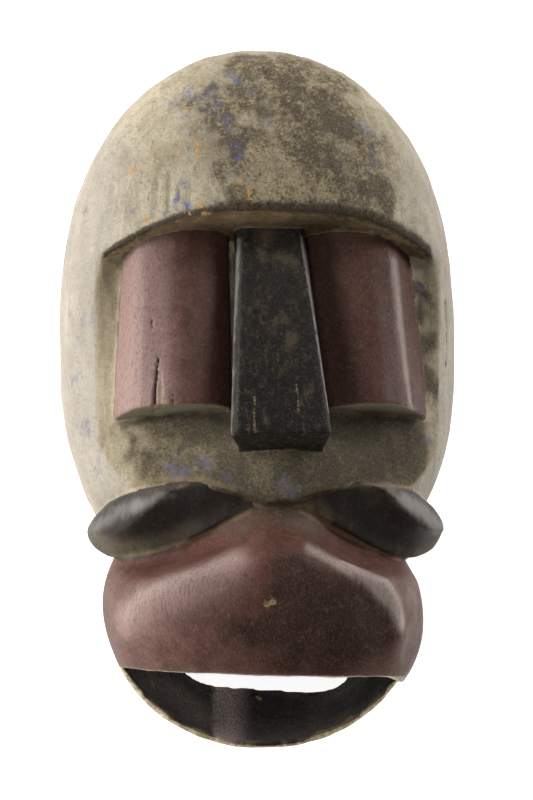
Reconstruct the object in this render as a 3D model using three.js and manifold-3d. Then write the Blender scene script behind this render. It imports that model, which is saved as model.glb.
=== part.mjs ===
// A carved and painted wooden face mask, lying on its back rim with the face up.
// Units are millimetres. X runs to the viewer's right, Y towards the crown, and Z out of the face.
// The origin is in the plane of the back rim, under the middle of the mask.
import * as THREE from "three";
import { mergeVertices } from "three/addons/utils/BufferGeometryUtils.js";
import Module from "manifold-3d";

const wasm = await Module();
wasm.setup();

// Driving dimensions of the shell: one long egg, widest a little above its middle.
const HEAD = {
  halfWidth: 102,
  centreY: 22.9,
  crownRise: 157,
  chinDrop: 132,
  crownPower: { x: 1.93, y: 2.69 },
  chinPower: { x: 2, y: 2.35 },
  widestZ: 25,
  rimTuck: 2.5,
  domeDepth: 63,
  cheekDepth: 80,
  cheekTopY: -45,
  domeFootY: 15,
};

// The brow's lower edge is an arch, and its underside slopes back and down to the face.
const BROW = {
  centreY: 94.6,
  drop: 24.3,
  halfSpan: 87,
  power: 3,
  runOut: 8,
  tilt: THREE.MathUtils.degToRad(19),
};

// The sunken face field leans forward from under the brow to the cheeks, with a scoop in each cheek.
const FIELD = {
  topY: 82,
  bottomY: -28,
  lowestY: -100,
  topZ: 45,
  bottomZ: 93,
  cheekSag: 35,
  templeRise: 8,
  halfWidth: 87,
  scoop: { x: 48, y: -24, depth: 6, spreadX: 24, spreadY: 15 },
  step: { inset: 2, run: 9, depth: 34, backDepth: 13, backRise: 11 },
};

// The nose is a tapered block that leans out. Its left edge is planed off wider than its right one,
// and its sides are cut under, the left one more.
const NOSE = {
  top: { y: 93, z: 60, left: -13.9, right: 15.3, underLeft: 5, underRight: 1 },
  bottom: { y: -17, z: 110, left: -25.5, right: 21.7, underLeft: 14, underRight: 2.5 },
  leftEdge: { width: 3.1, depth: 4 },
  rightEdge: { width: 1.5, depth: 1.8 },
  tilt: THREE.MathUtils.degToRad(25),
  rootDepth: 34,
};

// Each eye is a faceted column. Its section is a list of corners, from the nose outwards: the
// distance from the mask's middle and the height, first under the brow and then at the lower end.
const EYE = {
  topY: 93,
  bottomY: -2.5,
  tilt: THREE.MathUtils.degToRad(14),
  rootDepth: 22,
  levels: 7,
  left: [
    { top: [20, 49], bottom: [24, 83] },
    { top: [28, 56], bottom: [34, 91] },
    { top: [45, 61], bottom: [56, 95] },
    { top: [67, 58], bottom: [74, 86] },
    { top: [73, 46], bottom: [80.5, 66] },
  ],
  right: [
    { top: [20, 49], bottom: [24, 83] },
    { top: [32, 56], bottom: [38, 91] },
    { top: [48, 60], bottom: [52, 94] },
    { top: [64, 58], bottom: [64, 88.5] },
    { top: [74, 44], bottom: [80, 66] },
  ],
};

// The muzzle is a broad bulge whose lower half is cut away for the open mouth.
const MUZZLE = {
  centreY: -108.7,
  halfWidth: 82,
  halfHeight: 70.8,
  equatorZ: 44,
  reach: 66,
  power: 2.4,
  back: { halfWidth: 70, halfHeight: 53, shiftX: 7, power: 2, tilt: 0 },
  lean: { x: -2.2, fromY: -130, toY: -93 },
};

// The lip's upper slope drops from a crest to a crease along the lower edges of the wings. It is
// deepest between the keel in the middle and the shallow ends, and always under the wings' edges.
const CREASE = {
  centreY: -50.5,
  drop: 30,
  halfSpan: 75,
  power: 1.3,
  depth: 29,
  depthAtEnd: 17,
  endsFrom: 55,
  depthAtKeel: 11,
  keelHalf: 42,
  slopeAtKeel: 29,
  slopeAtEnd: 13,
  slopeEndsAt: 60,
  proud: 0.5,
  topY: -20,
  overhang: 8,
  underWing: 1.5,
};

// The mouth: the upper lip's lower edge, lower on the right and at the corner, and the jaw's rim.
const MOUTH = {
  lipY: -138.8,
  lipSlope: -0.03,
  cornerDroop: 6,
  droopFrom: 52,
  droopTo: 76,
  rimZ: 43,
  rimRise: 0.08,
  lowestY: -240,
};

// The wing beside each nostril is a leaf with a raised ridge and a hollowed lower face.
// Its stations are distances from the mask's middle. The upper face rounds towards the ridge, and
// the back is given as shares of the half height and of the thickness behind the edges.
const WING = {
  innerX: 6,
  outerX: 91.2,
  fullX: 68,
  halfHeight: 17.6,
  innerPower: 0.9,
  outerPower: 1.7,
  line: { y: -50.3, drop: 18.3, from: 5, to: 100 },
  ridge: { z: 87, drop: 28, from: 20, power: 2.4, share: 0.95, leavesTop: 46, meetsMiddle: 80, leastRise: 1 },
  lowerEdge: { z: 81, drop: 35, power: 1.5 },
  upperEdge: { z: 88, drop: 32, power: 2.2 },
  leastSize: 0.04,
  hollow: 5,
  thickness: 24,
  upperFace: { towardRidge: 0.6, upRidge: 0.75 },
  back: [
    { across: -0.75, top: false, deep: 0.7 },
    { across: -0.2, top: false, deep: 1 },
    { across: 0.5, top: false, deep: 1 },
    { across: 0.95, top: true, deep: 0.7 },
  ],
};

// Wall thicknesses, by place, and the hollow behind the jaw, which was cut a little to one side.
const WALL = {
  side: 9.4,
  crown: 10.5,
  neck: 6.2,
  chinSide: 29,
  chinFoot: 15,
  front: 12,
  brow: 12,
  cheek: 18,
  jaw: 3.6,
  lip: 13,
  crease: 6,
  underWing: 10,
};
const CHIN_SHIFT = 9.2; // how far the hollow's chin sits to the right, at the back
const CHIN_TILT = 0.08; // how much its floor falls to the right
const CHIN_POWER = 7; // above 2 gives the floor a flatter bottom and steeper ends

// How far a cutting form reaches past the wood: to each side, in front of it and behind it.
const REACH = 125;
const CEILING = 210;
const BEHIND = -5;

// How finely each form is divided.
const OUTSIDE = { eggSides: 72, eggLevels: 14, columns: 30, rows: 16, muzzleSides: 60, muzzleLevels: 13 };
const INSIDE = { eggSides: 48, eggLevels: 9, columns: 20, rows: 10, muzzleSides: 48, muzzleLevels: 9 };
const CREASE_STATIONS = 28;
const CREASE_STEPS = 6;
const MOUTH_STATIONS = 24;
const WING_STATIONS = 18;
const WING_STEPS = 5;

const mix = THREE.MathUtils.lerp;
const smooth = THREE.MathUtils.smoothstep;

// A ring of points round the egg's outline. The share is of the plan: 1 at the rim, 0 at the middle.
function eggRing(sides, share, form) {
  const ring = [];
  for (let i = 0; i < sides; i++) {
    const a = (i / sides) * 2 * Math.PI;
    const c = Math.cos(a);
    const s = Math.sin(a);
    const power = s >= 0 ? form.crownPower : form.chinPower;
    const x = form.halfWidth * Math.sign(c) * (share * c * c) ** (1 / power.x);
    const y = (s >= 0 ? form.crownRise : -form.chinDrop) * (share * s * s) ** (1 / power.y);
    ring.push(new THREE.Vector3(x, form.centreY + y, 0));
  }
  return ring;
}

// A closed skin through rings that all have the same number of points, with a fan over each end.
function skin(rings) {
  const sides = rings[0].length;
  const points = rings.flat();
  const faces = [];
  for (let r = 0; r + 1 < rings.length; r++) {
    for (let i = 0; i < sides; i++) {
      const a = r * sides + i;
      const b = r * sides + ((i + 1) % sides);
      faces.push(a, b, b + sides, a, b + sides, a + sides);
    }
  }
  const middle = (ring) => ring.reduce((sum, p) => sum.add(p), new THREE.Vector3()).divideScalar(sides);
  const first = points.length;
  points.push(middle(rings[0]), middle(rings[rings.length - 1]));
  const last = (rings.length - 1) * sides;
  for (let i = 0; i < sides; i++) {
    const j = (i + 1) % sides;
    faces.push(first, j, i, first + 1, last + i, last + j);
  }
  const geometry = new THREE.BufferGeometry().setFromPoints(points);
  geometry.setIndex(faces);
  return geometry;
}

// A closed geometry as a solid for cutting and joining. A skin wound inside out is turned round.
function solid(geometry) {
  const merged = mergeVertices(geometry, 1e-3);
  const vertProperties = merged.attributes.position.array;
  const triVerts = new Uint32Array(merged.index.array);
  const build = () => new wasm.Manifold(new wasm.Mesh({ numProp: 3, vertProperties, triVerts }));
  const made = build();
  if (made.volume() > 0) return made;
  for (let i = 0; i < triVerts.length; i += 3) {
    [triVerts[i + 1], triVerts[i + 2]] = [triVerts[i + 2], triVerts[i + 1]];
  }
  return build();
}

// A solid's faces as a three.js geometry.
function geometryOf(made) {
  const { numProp, vertProperties, triVerts } = made.getMesh();
  const positions = new Float32Array((vertProperties.length / numProp) * 3);
  for (let i = 0; i * numProp < vertProperties.length; i++) {
    positions.set(vertProperties.subarray(i * numProp, i * numProp + 3), i * 3);
  }
  const geometry = new THREE.BufferGeometry();
  geometry.setAttribute("position", new THREE.BufferAttribute(positions, 3));
  geometry.setIndex(new THREE.BufferAttribute(triVerts, 1));
  geometry.computeVertexNormals();
  return geometry;
}

// The egg's depth above its widest line: the cheeks come further forward than the forehead.
const eggDepth = (y, form) => mix(form.cheekDepth, form.domeDepth, smooth(y, form.cheekTopY, form.domeFootY));

// The egg from the rim's plane to the front. One that is cut away as a hollow starts behind the rim.
function eggSolid(form, sides, levels, startZ) {
  const rings = [0, 0.5, 1].map((share) => {
    const tuck = form.rimTuck * (1 - share) ** 2;
    const narrow = { ...form, halfWidth: form.halfWidth - tuck, crownRise: form.crownRise - tuck };
    return eggRing(sides, 1, narrow).map((p) => p.setZ(mix(startZ, form.widestZ, share)));
  });
  for (let k = 1; k < levels; k++) {
    const angle = (k / levels) * (Math.PI / 2);
    const lift = Math.sin(angle);
    const ring = eggRing(sides, Math.cos(angle) ** 2, form);
    rings.push(ring.map((p) => p.setZ(form.widestZ + lift * eggDepth(p.y, form))));
  }
  return solid(skin(rings));
}

// The height of the egg's surface over a point of its plan.
function eggHeight(x, y) {
  const above = y >= HEAD.centreY;
  const power = above ? HEAD.crownPower : HEAD.chinPower;
  const across = Math.abs(x / HEAD.halfWidth) ** power.x;
  const along = Math.abs((y - HEAD.centreY) / (above ? HEAD.crownRise : HEAD.chinDrop)) ** power.y;
  return HEAD.widestZ + eggDepth(y, HEAD) * Math.sqrt(Math.max(0, 1 - across - along));
}

// The middle and the half height of the wings' leaf at a distance from the mask's middle.
function wingSpan(x) {
  const { line } = WING;
  const inner = THREE.MathUtils.clamp((x - WING.innerX) / (WING.fullX - WING.innerX), 0, 1);
  const past = THREE.MathUtils.clamp((x - WING.fullX) / (WING.outerX - WING.fullX), 0, 1);
  const size = Math.sin((inner * Math.PI) / 2) ** WING.innerPower * Math.sqrt(1 - past ** WING.outerPower);
  return { middle: line.y - line.drop * smooth(x, line.from, line.to), size: Math.max(size, WING.leastSize) };
}

// The line where the face steps back, just inside the wings' upper edges.
function stepY(x) {
  const { middle, size } = wingSpan(Math.abs(x));
  return middle + WING.halfHeight * size - FIELD.step.inset;
}

const browY = (x) => BROW.centreY - BROW.drop * Math.abs(x / BROW.halfSpan) ** BROW.power;

// The sunken field's height: flat and deep at the temples above, rounded at the cheeks below.
// It steps back under the wings.
function fieldHeight(x, y, { stepRise, stepDepth }) {
  const down = THREE.MathUtils.clamp((FIELD.topY - y) / (FIELD.topY - FIELD.bottomY), 0, 1);
  const out = Math.min(Math.abs(x / FIELD.halfWidth), 1);
  const middle = mix(FIELD.topZ, FIELD.bottomZ, down);
  const { scoop } = FIELD;
  const across = (Math.abs(x) - scoop.x) / scoop.spreadX;
  const along = (y - scoop.y) / scoop.spreadY;
  const dip = scoop.depth * Math.exp(-across * across - along * along);
  const drop = stepDepth * THREE.MathUtils.clamp((stepY(x) + stepRise - y) / FIELD.step.run, 0, 1);
  return middle - FIELD.cheekSag * down * out ** 2 + FIELD.templeRise * (1 - down) * out ** 6 - dip - drop;
}

// What is carved away in front of the face, down to the field and back to under the brow.
// The hollow behind the face has the same form, sunk and raised by the wall's thickness.
function fieldCutter(columns, rows, place) {
  const { sink, browRise, stepRise } = place;
  const slope = Math.tan(BROW.tilt);
  const rings = [];
  for (let i = 0; i <= columns; i++) {
    const x = mix(-REACH, REACH, i / columns);
    const edgeY = browY(Math.min(Math.abs(x), BROW.halfSpan + BROW.runOut)) + browRise;
    const edgeZ = eggHeight(x, browY(x));
    const topY = (z) => edgeY - slope * (edgeZ - z);
    const height = (y) => fieldHeight(x, y, place) - sink;
    const line = [];
    for (let j = 0; j <= rows; j++) {
      const y = mix(topY(height(edgeY)), stepY(x) + stepRise, j / rows);
      line.push(new THREE.Vector3(x, y, height(y)));
    }
    const footY = stepY(x) + stepRise - FIELD.step.run;
    line.push(new THREE.Vector3(x, footY, height(footY)));
    line.push(new THREE.Vector3(x, FIELD.lowestY, height(FIELD.lowestY)));
    line.push(new THREE.Vector3(x, FIELD.lowestY, CEILING), new THREE.Vector3(x, topY(CEILING), CEILING));
    rings.push(line);
  }
  return solid(skin(rings));
}

// An eye column, from its lower end up to under the brow. The lower end is cut square to the
// leaning front, so its rim is highest where it stands out most.
function eyeSolid(corners, side) {
  const slope = Math.tan(EYE.tilt);
  const front = Math.max(...corners.map((c) => c.bottom[1]));
  const rings = [];
  for (let k = 0; k <= EYE.levels; k++) {
    const rise = k / EYE.levels;
    const line = corners.map((c) => [mix(c.bottom[0], c.top[0], rise), mix(c.bottom[1], c.top[1], rise)]);
    const inner = line[0];
    const outer = line[line.length - 1];
    const root = Math.min(inner[1], outer[1]) - EYE.rootDepth;
    line.push([outer[0], root], [inner[0], root]);
    const y = mix(EYE.bottomY, EYE.topY, rise);
    rings.push(line.map(([x, z]) => new THREE.Vector3(x * side, y - (1 - rise) * slope * (front - z), z)));
  }
  return solid(skin(rings));
}

function noseSolid() {
  const slope = Math.tan(NOSE.tilt);
  const section = (end, cut) => {
    const outerRight = end.right + NOSE.rightEdge.width;
    const outerLeft = end.left - NOSE.leftEdge.width;
    const line = [
      [outerRight - end.underRight, NOSE.rootDepth],
      [outerRight, NOSE.rightEdge.depth],
      [end.right, 0],
      [end.left, 0],
      [outerLeft, NOSE.leftEdge.depth],
      [outerLeft + end.underLeft, NOSE.rootDepth],
    ];
    return line.map(([x, deep]) => new THREE.Vector3(x, end.y - cut * deep, end.z - deep));
  };
  return solid(skin([section(NOSE.bottom, slope), section(NOSE.top, 0)]));
}

// How far the muzzle stands to the side above the mouth.
const muzzleLean = (y) => MUZZLE.lean.x * smooth(y, MUZZLE.lean.fromY, MUZZLE.lean.toY);

// The height of the plain bulge over a point of its plan.
function bulgeHeight(x, y, form) {
  const radius = Math.hypot((x - muzzleLean(y)) / form.halfWidth, (y - form.centreY) / form.halfHeight);
  return form.equatorZ + form.reach * Math.max(0, 1 - radius ** form.power) ** (1 / form.power);
}

// What is carved away above the lip's crest, down to the crease and on behind the wings.
// The shift moves it down, so that the wall keeps its thickness where the slope is steep.
function creaseCutter(form) {
  const reach = form.halfWidth + CREASE.overhang;
  const rings = [];
  for (let i = 0; i <= CREASE_STATIONS; i++) {
    const x = mix(-reach, reach, i / CREASE_STATIONS);
    const out = Math.abs(x);
    const share = Math.min(out / CREASE.halfSpan, 1);
    const arch = CREASE.drop * Math.sin((share * Math.PI) / 2) ** CREASE.power;
    const creaseY = CREASE.centreY - arch - form.creaseShift;
    const beside = mix(CREASE.depth, CREASE.depthAtEnd, smooth(out, CREASE.endsFrom, CREASE.halfSpan));
    const usual = mix(CREASE.depthAtKeel, beside, smooth(out, 0, CREASE.keelHalf));
    const wingEdge = wingProfile(Math.max(out, WING.innerX)).lowZ - CREASE.underWing - form.creaseWall;
    const depth = Math.max(usual, bulgeHeight(x, creaseY, form) + CREASE.proud - wingEdge);
    const crestY = creaseY - mix(CREASE.slopeAtKeel, CREASE.slopeAtEnd, smooth(out, 0, CREASE.slopeEndsAt));
    const line = [new THREE.Vector3(x, crestY, CEILING)];
    for (let j = 0; j <= CREASE_STEPS; j++) {
      const y = mix(crestY, creaseY, j / CREASE_STEPS);
      const fall = depth * Math.sin((j / CREASE_STEPS) * (Math.PI / 2));
      line.push(new THREE.Vector3(x, y, bulgeHeight(x, y, form) + CREASE.proud - fall));
    }
    const creaseZ = line[line.length - 1].z;
    line.push(new THREE.Vector3(x, CREASE.topY, creaseZ), new THREE.Vector3(x, CREASE.topY, CEILING));
    rings.push(line);
  }
  return solid(skin(rings));
}

// The muzzle from its back outline, out to its widest ring and over the front.
function muzzleSolid(form, sides, levels) {
  const oval = (halfWidth, halfHeight, shiftX, power = 2, tilt = 0) => {
    const squarer = (v) => Math.sign(v) * Math.abs(v) ** (2 / power);
    const ring = [];
    for (let i = 0; i < sides; i++) {
      const a = (i / sides) * 2 * Math.PI;
      const x = halfWidth * squarer(Math.cos(a));
      const y = form.centreY + halfHeight * squarer(Math.sin(a)) - tilt * x;
      ring.push(new THREE.Vector3(shiftX + muzzleLean(y) + x, y, 0));
    }
    return ring;
  };
  const rings = [0, 0.25, 0.5, 0.75].map((share) => {
    const swell = Math.sin((share * Math.PI) / 2);
    const halfWidth = mix(form.back.halfWidth, form.halfWidth, swell);
    const halfHeight = mix(form.back.halfHeight, form.halfHeight, swell);
    const shiftX = form.back.shiftX * (1 - swell);
    const power = mix(2, form.back.power, (1 - swell) ** 3);
    const ring = oval(halfWidth, halfHeight, shiftX, power, form.back.tilt * (1 - swell));
    return ring.map((p) => p.setZ(mix(form.back.z, form.equatorZ, share)));
  });
  for (let k = 0; k < levels; k++) {
    const angle = (k / levels) * (Math.PI / 2);
    const plan = Math.cos(angle) ** (2 / form.power);
    const lift = Math.sin(angle) ** (2 / form.power);
    const ring = oval(form.halfWidth * plan, form.halfHeight * plan, 0);
    rings.push(ring.map((p) => p.setZ(form.equatorZ + lift * form.reach)));
  }
  return solid(skin(rings)).subtract(creaseCutter(form));
}

// What is carved away below the upper lip and in front of the jaw's rim.
function mouthCutter() {
  const rim = (y) => MOUTH.rimZ + MOUTH.rimRise * (MOUTH.lipY - y);
  const rings = [];
  for (let i = 0; i <= MOUTH_STATIONS; i++) {
    const x = mix(-REACH, REACH, i / MOUTH_STATIONS);
    const droop = MOUTH.cornerDroop * smooth(x, MOUTH.droopFrom, MOUTH.droopTo);
    const lip = MOUTH.lipY + MOUTH.lipSlope * x - droop;
    rings.push([
      new THREE.Vector3(x, lip, rim(lip)),
      new THREE.Vector3(x, MOUTH.lowestY, rim(MOUTH.lowestY)),
      new THREE.Vector3(x, MOUTH.lowestY, CEILING),
      new THREE.Vector3(x, lip, CEILING),
    ]);
  }
  return solid(skin(rings));
}

// The heights of a wing's edges and ridge at a station, and where the ridge runs on the leaf, as a
// share of its half height: near the upper edge on the inside, down to the middle at the outer end.
function wingProfile(x) {
  const { ridge, lowerEdge, upperEdge } = WING;
  const run = (x - WING.innerX) / (WING.outerX - WING.innerX);
  const ridgeRun = Math.max(0, (x - ridge.from) / (WING.outerX - ridge.from));
  const ridgeZ = ridge.z - ridge.drop * ridgeRun ** ridge.power;
  return {
    ridgeZ,
    ridgeAt: ridge.share * (1 - smooth(x, ridge.leavesTop, ridge.meetsMiddle)),
    lowZ: lowerEdge.z - lowerEdge.drop * run ** lowerEdge.power,
    highZ: Math.min(upperEdge.z - upperEdge.drop * run ** upperEdge.power, ridgeZ - ridge.leastRise),
  };
}

// One nostril wing on the side given: -1 or 1. Each station is a closed section of the leaf, from
// its upper edge over the ridge, down the hollowed face to the lower edge and round the back.
function wingSolid(side) {
  const rings = [];
  for (let k = 0; k <= WING_STATIONS; k++) {
    const x = mix(WING.innerX, WING.outerX, 0.5 - 0.5 * Math.cos((Math.PI * k) / WING_STATIONS));
    const { middle, size } = wingSpan(x);
    const { ridgeZ, ridgeAt, lowZ, highZ } = wingProfile(x);
    const back = WING.thickness * Math.sqrt(size);
    const { towardRidge, upRidge } = WING.upperFace;
    const section = [
      [1, highZ],
      [mix(1, ridgeAt, towardRidge), mix(highZ, ridgeZ, upRidge)],
    ];
    for (let j = 0; j <= WING_STEPS; j++) {
      const down = j / WING_STEPS;
      const dip = WING.hollow * size * Math.sin(Math.PI * down);
      section.push([mix(ridgeAt, -1, down), mix(ridgeZ, lowZ, down) - dip]);
    }
    for (const { across, top, deep } of WING.back) {
      section.push([across, (top ? highZ : lowZ) - deep * back]);
    }
    rings.push(section.map(([h, z]) => new THREE.Vector3(x * side, middle + WING.halfHeight * size * h, z)));
  }
  return solid(skin(rings));
}

// The hollow behind the face, open at the back.
function hollow() {
  const inner = {
    ...HEAD,
    halfWidth: HEAD.halfWidth - WALL.side,
    crownRise: HEAD.crownRise - WALL.crown,
    chinDrop: HEAD.chinDrop - WALL.neck,
    domeDepth: HEAD.domeDepth - WALL.front,
    cheekDepth: HEAD.cheekDepth - WALL.cheek,
    rimTuck: 0,
  };
  const { backRise, backDepth } = FIELD.step;
  const behind = { sink: WALL.front, browRise: WALL.brow, stepRise: backRise, stepDepth: backDepth };
  const egg = eggSolid(inner, INSIDE.eggSides, INSIDE.eggLevels, BEHIND);
  const head = egg.subtract(fieldCutter(INSIDE.columns, INSIDE.rows, behind));
  const muzzle = {
    ...MUZZLE,
    halfWidth: MUZZLE.halfWidth - WALL.jaw,
    halfHeight: MUZZLE.halfHeight - WALL.jaw,
    reach: MUZZLE.reach - WALL.lip,
    back: {
      halfWidth: MUZZLE.back.halfWidth - WALL.chinSide,
      halfHeight: MUZZLE.back.halfHeight - WALL.chinFoot,
      shiftX: CHIN_SHIFT,
      power: CHIN_POWER,
      tilt: CHIN_TILT,
      z: BEHIND,
    },
    creaseShift: WALL.crease,
    creaseWall: WALL.underWing,
  };
  return head.add(muzzleSolid(muzzle, INSIDE.muzzleSides, INSIDE.muzzleLevels));
}

function carvedMask() {
  const outer = { ...MUZZLE, back: { ...MUZZLE.back, z: 0 }, creaseShift: 0, creaseWall: 0 };
  const face = { sink: 0, browRise: 0, stepRise: 0, stepDepth: FIELD.step.depth };
  const egg = eggSolid(HEAD, OUTSIDE.eggSides, OUTSIDE.eggLevels, 0);
  let made = egg.subtract(fieldCutter(OUTSIDE.columns, OUTSIDE.rows, face));
  made = made.add(muzzleSolid(outer, OUTSIDE.muzzleSides, OUTSIDE.muzzleLevels));
  for (const side of [-1, 1]) {
    made = made.add(wingSolid(side));
    made = made.add(eyeSolid(side < 0 ? EYE.left : EYE.right, side));
  }
  made = made.add(noseSolid());
  return made.subtract(hollow()).subtract(mouthCutter());
}

const timber = new THREE.MeshStandardMaterial({ color: 0x8a7f6c, roughness: 0.85, metalness: 0 });
const maskMesh = new THREE.Mesh(geometryOf(carvedMask()), timber);
maskMesh.name = "mask";

const mask = new THREE.Group();
mask.add(maskMesh);
export default mask;
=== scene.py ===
# %% [markdown]
# # A carved and painted wooden face mask
# The real mask is one block of light wood. A carver roughed it out with an adze, cut the facets with
# a knife, hollowed the back with a gouge, and painted it: white clay on the head, red-brown earth on
# the eyes and the lip, and black on the nose and the nostril wings. This script makes it in the same
# order: the big forms first, then the cuts, then the tool marks and damage, and the paint last.

import math

import bmesh
import bpy
import numpy as np
from mathutils import Matrix, Vector, noise
from mathutils.bvhtree import BVHTree


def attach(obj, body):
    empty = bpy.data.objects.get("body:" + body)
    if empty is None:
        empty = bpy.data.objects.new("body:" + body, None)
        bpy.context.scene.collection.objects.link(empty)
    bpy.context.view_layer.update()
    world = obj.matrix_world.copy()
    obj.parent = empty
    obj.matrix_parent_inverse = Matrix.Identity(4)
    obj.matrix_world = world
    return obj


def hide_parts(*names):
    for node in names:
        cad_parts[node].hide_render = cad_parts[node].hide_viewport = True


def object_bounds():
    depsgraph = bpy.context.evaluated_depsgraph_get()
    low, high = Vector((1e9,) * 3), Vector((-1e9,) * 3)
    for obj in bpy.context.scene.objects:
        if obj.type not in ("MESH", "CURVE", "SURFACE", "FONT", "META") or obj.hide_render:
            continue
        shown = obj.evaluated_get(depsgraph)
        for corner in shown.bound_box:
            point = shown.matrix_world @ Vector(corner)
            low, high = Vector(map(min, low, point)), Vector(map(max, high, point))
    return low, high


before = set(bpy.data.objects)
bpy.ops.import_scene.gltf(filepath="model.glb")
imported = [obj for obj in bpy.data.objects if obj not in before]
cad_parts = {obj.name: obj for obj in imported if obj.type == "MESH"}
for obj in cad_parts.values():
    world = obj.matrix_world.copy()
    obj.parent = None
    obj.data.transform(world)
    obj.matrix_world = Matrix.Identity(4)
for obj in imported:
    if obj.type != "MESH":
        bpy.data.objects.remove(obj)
solid_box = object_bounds()
print("the plain solid spans", [round(v, 4) for corner in solid_box for v in corner])

# %% [markdown]
# ## Millimetres and two small helpers
# A carver thinks in millimetres, so every size here is in millimetres, and it becomes metres only
# when a mesh is made. `mix` goes from one value to another in a straight line. `smooth` goes from 0
# to 1 between two places, with no corner at either end, which is how one carved plane eases into
# the next.

# %% Helpers for sizes
MM = 0.001


def mix(start, end, share):
    return start + (end - start) * share


def smooth(value, start, end):
    share = np.clip((value - start) / (end - start), 0.0, 1.0)
    return share * share * (3.0 - 2.0 * share)


# %% [markdown]
# ## Solids from rings
# Most forms of the mask can be made by stacking closed rings of points and laying a skin over them,
# as a boat builder lays planks over frames. It is chosen over sculpting because every ring follows
# from a few named sizes. The two ends are closed with a fan of triangles, and the normals are
# turned outwards, so the solid can be joined and cut.

# %% A skin over rings
def skin(name, rings):
    rings = np.asarray(rings, float)
    rows, sides = rings.shape[:2]
    ends = [rings[0].mean(axis=0), rings[-1].mean(axis=0)]
    points = np.vstack([rings.reshape(-1, 3), ends]) * MM
    here = np.arange(sides)
    beside = (here + 1) % sides
    starts = np.arange(rows - 1)[:, None] * sides
    quads = np.stack([starts + here, starts + beside, starts + sides + beside, starts + sides + here], axis=2)
    first, last = rows * sides, rows * sides + 1
    top = (rows - 1) * sides
    fans = [(first, int(j), int(i)) for i, j in zip(here, beside)]
    fans += [(last, top + int(i), top + int(j)) for i, j in zip(here, beside)]
    mesh = bpy.data.meshes.new(name)
    mesh.from_pydata(points.tolist(), [], quads.reshape(-1, 4).tolist() + fans)
    shell = bmesh.new()
    shell.from_mesh(mesh)
    bmesh.ops.remove_doubles(shell, verts=shell.verts, dist=1e-7)
    bmesh.ops.recalc_face_normals(shell, faces=shell.faces)
    shell.to_mesh(mesh)
    shell.free()
    piece = bpy.data.objects.new(name, mesh)
    bpy.context.scene.collection.objects.link(piece)
    return piece


# %% [markdown]
# ## Joining and cutting
# The mask is all one piece of wood, so its forms are joined with Boolean modifiers, and the hollow
# and the mouth are cut out the same way. `settle` turns a piece and its modifiers into a plain mesh.

# %% Join and cut
def settle(piece):
    made = piece.evaluated_get(bpy.context.evaluated_depsgraph_get())
    mesh = bpy.data.meshes.new_from_object(made)
    piece.modifiers.clear()
    before = piece.data
    piece.data = mesh
    bpy.data.meshes.remove(before)


def combine(piece, tool, operation, keep_tool=False):
    step = piece.modifiers.new("combine", "BOOLEAN")
    step.operation = operation
    step.solver = "MANIFOLD"
    step.object = tool
    settle(piece)
    if not keep_tool:
        bpy.data.objects.remove(tool)


# %% [markdown]
# ## The egg of the head
# Seen from the front the head is an egg, widest a little above its middle, with a blunt crown and a
# fuller chin. Two powers a half give that outline: a power of 2 would be an ellipse, and a higher
# one is squarer. The cheeks come further forward than the forehead, so the depth eases from one
# value to the other down the face.

# %% Sizes and rings of the egg
HEAD = dict(
    half_width=102.0,
    centre_y=22.9,
    crown_rise=157.0,
    chin_drop=132.0,
    crown_power=(1.93, 2.69),
    chin_power=(2.0, 2.35),
    widest_z=25.0,
    rim_tuck=2.5,
    dome_depth=63.0,
    cheek_depth=80.0,
    cheek_top_y=-45.0,
    dome_foot_y=15.0,
)


def egg_ring(form, share, sides):
    turn = np.arange(sides) / sides * 2 * math.pi
    c, s = np.cos(turn), np.sin(turn)
    upper = s >= 0
    power_x = np.where(upper, form["crown_power"][0], form["chin_power"][0])
    power_y = np.where(upper, form["crown_power"][1], form["chin_power"][1])
    x = form["half_width"] * np.sign(c) * (share * c * c) ** (1 / power_x)
    rise = np.where(upper, form["crown_rise"], -form["chin_drop"])
    y = form["centre_y"] + rise * (share * s * s) ** (1 / power_y)
    return np.stack([x, y, np.zeros(sides)], axis=1)


def egg_depth(form, y):
    return mix(form["cheek_depth"], form["dome_depth"], smooth(y, form["cheek_top_y"], form["dome_foot_y"]))


def egg_height(x, y):
    upper = y >= HEAD["centre_y"]
    powers = HEAD["crown_power"] if upper else HEAD["chin_power"]
    reach = HEAD["crown_rise"] if upper else HEAD["chin_drop"]
    across = abs(x / HEAD["half_width"]) ** powers[0]
    along = abs((y - HEAD["centre_y"]) / reach) ** powers[1]
    return HEAD["widest_z"] + egg_depth(HEAD, y) * math.sqrt(max(0.0, 1 - across - along))


def egg_solid(name, form, start_z, sides=220, levels=60):
    rings = []
    for share in (0.0, 0.25, 0.5, 0.75, 1.0):
        tuck = form["rim_tuck"] * (1 - share) ** 2
        tucked = dict(form, half_width=form["half_width"] - tuck, crown_rise=form["crown_rise"] - tuck)
        ring = egg_ring(tucked, 1.0, sides)
        ring[:, 2] = mix(start_z, form["widest_z"], share)
        rings.append(ring)
    for level in range(1, levels):
        angle = level / levels * math.pi / 2
        ring = egg_ring(form, math.cos(angle) ** 2, sides)
        ring[:, 2] = form["widest_z"] + math.sin(angle) * egg_depth(form, ring[:, 1])
        rings.append(ring)
    return skin(name, rings)


# %% [markdown]
# ## The wings' plan, the brow's arch and the sunken face
# Three lines meet on the face. The brow's edge is an arch that drops towards the temples. The
# nostril wings are leaves that droop outwards. Between them the face is a sunken field: flat and
# deep under the brow, leaning forward to full rounded cheeks. It steps back just inside the wings'
# upper edges, so the wings stand clear of it.

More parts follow.
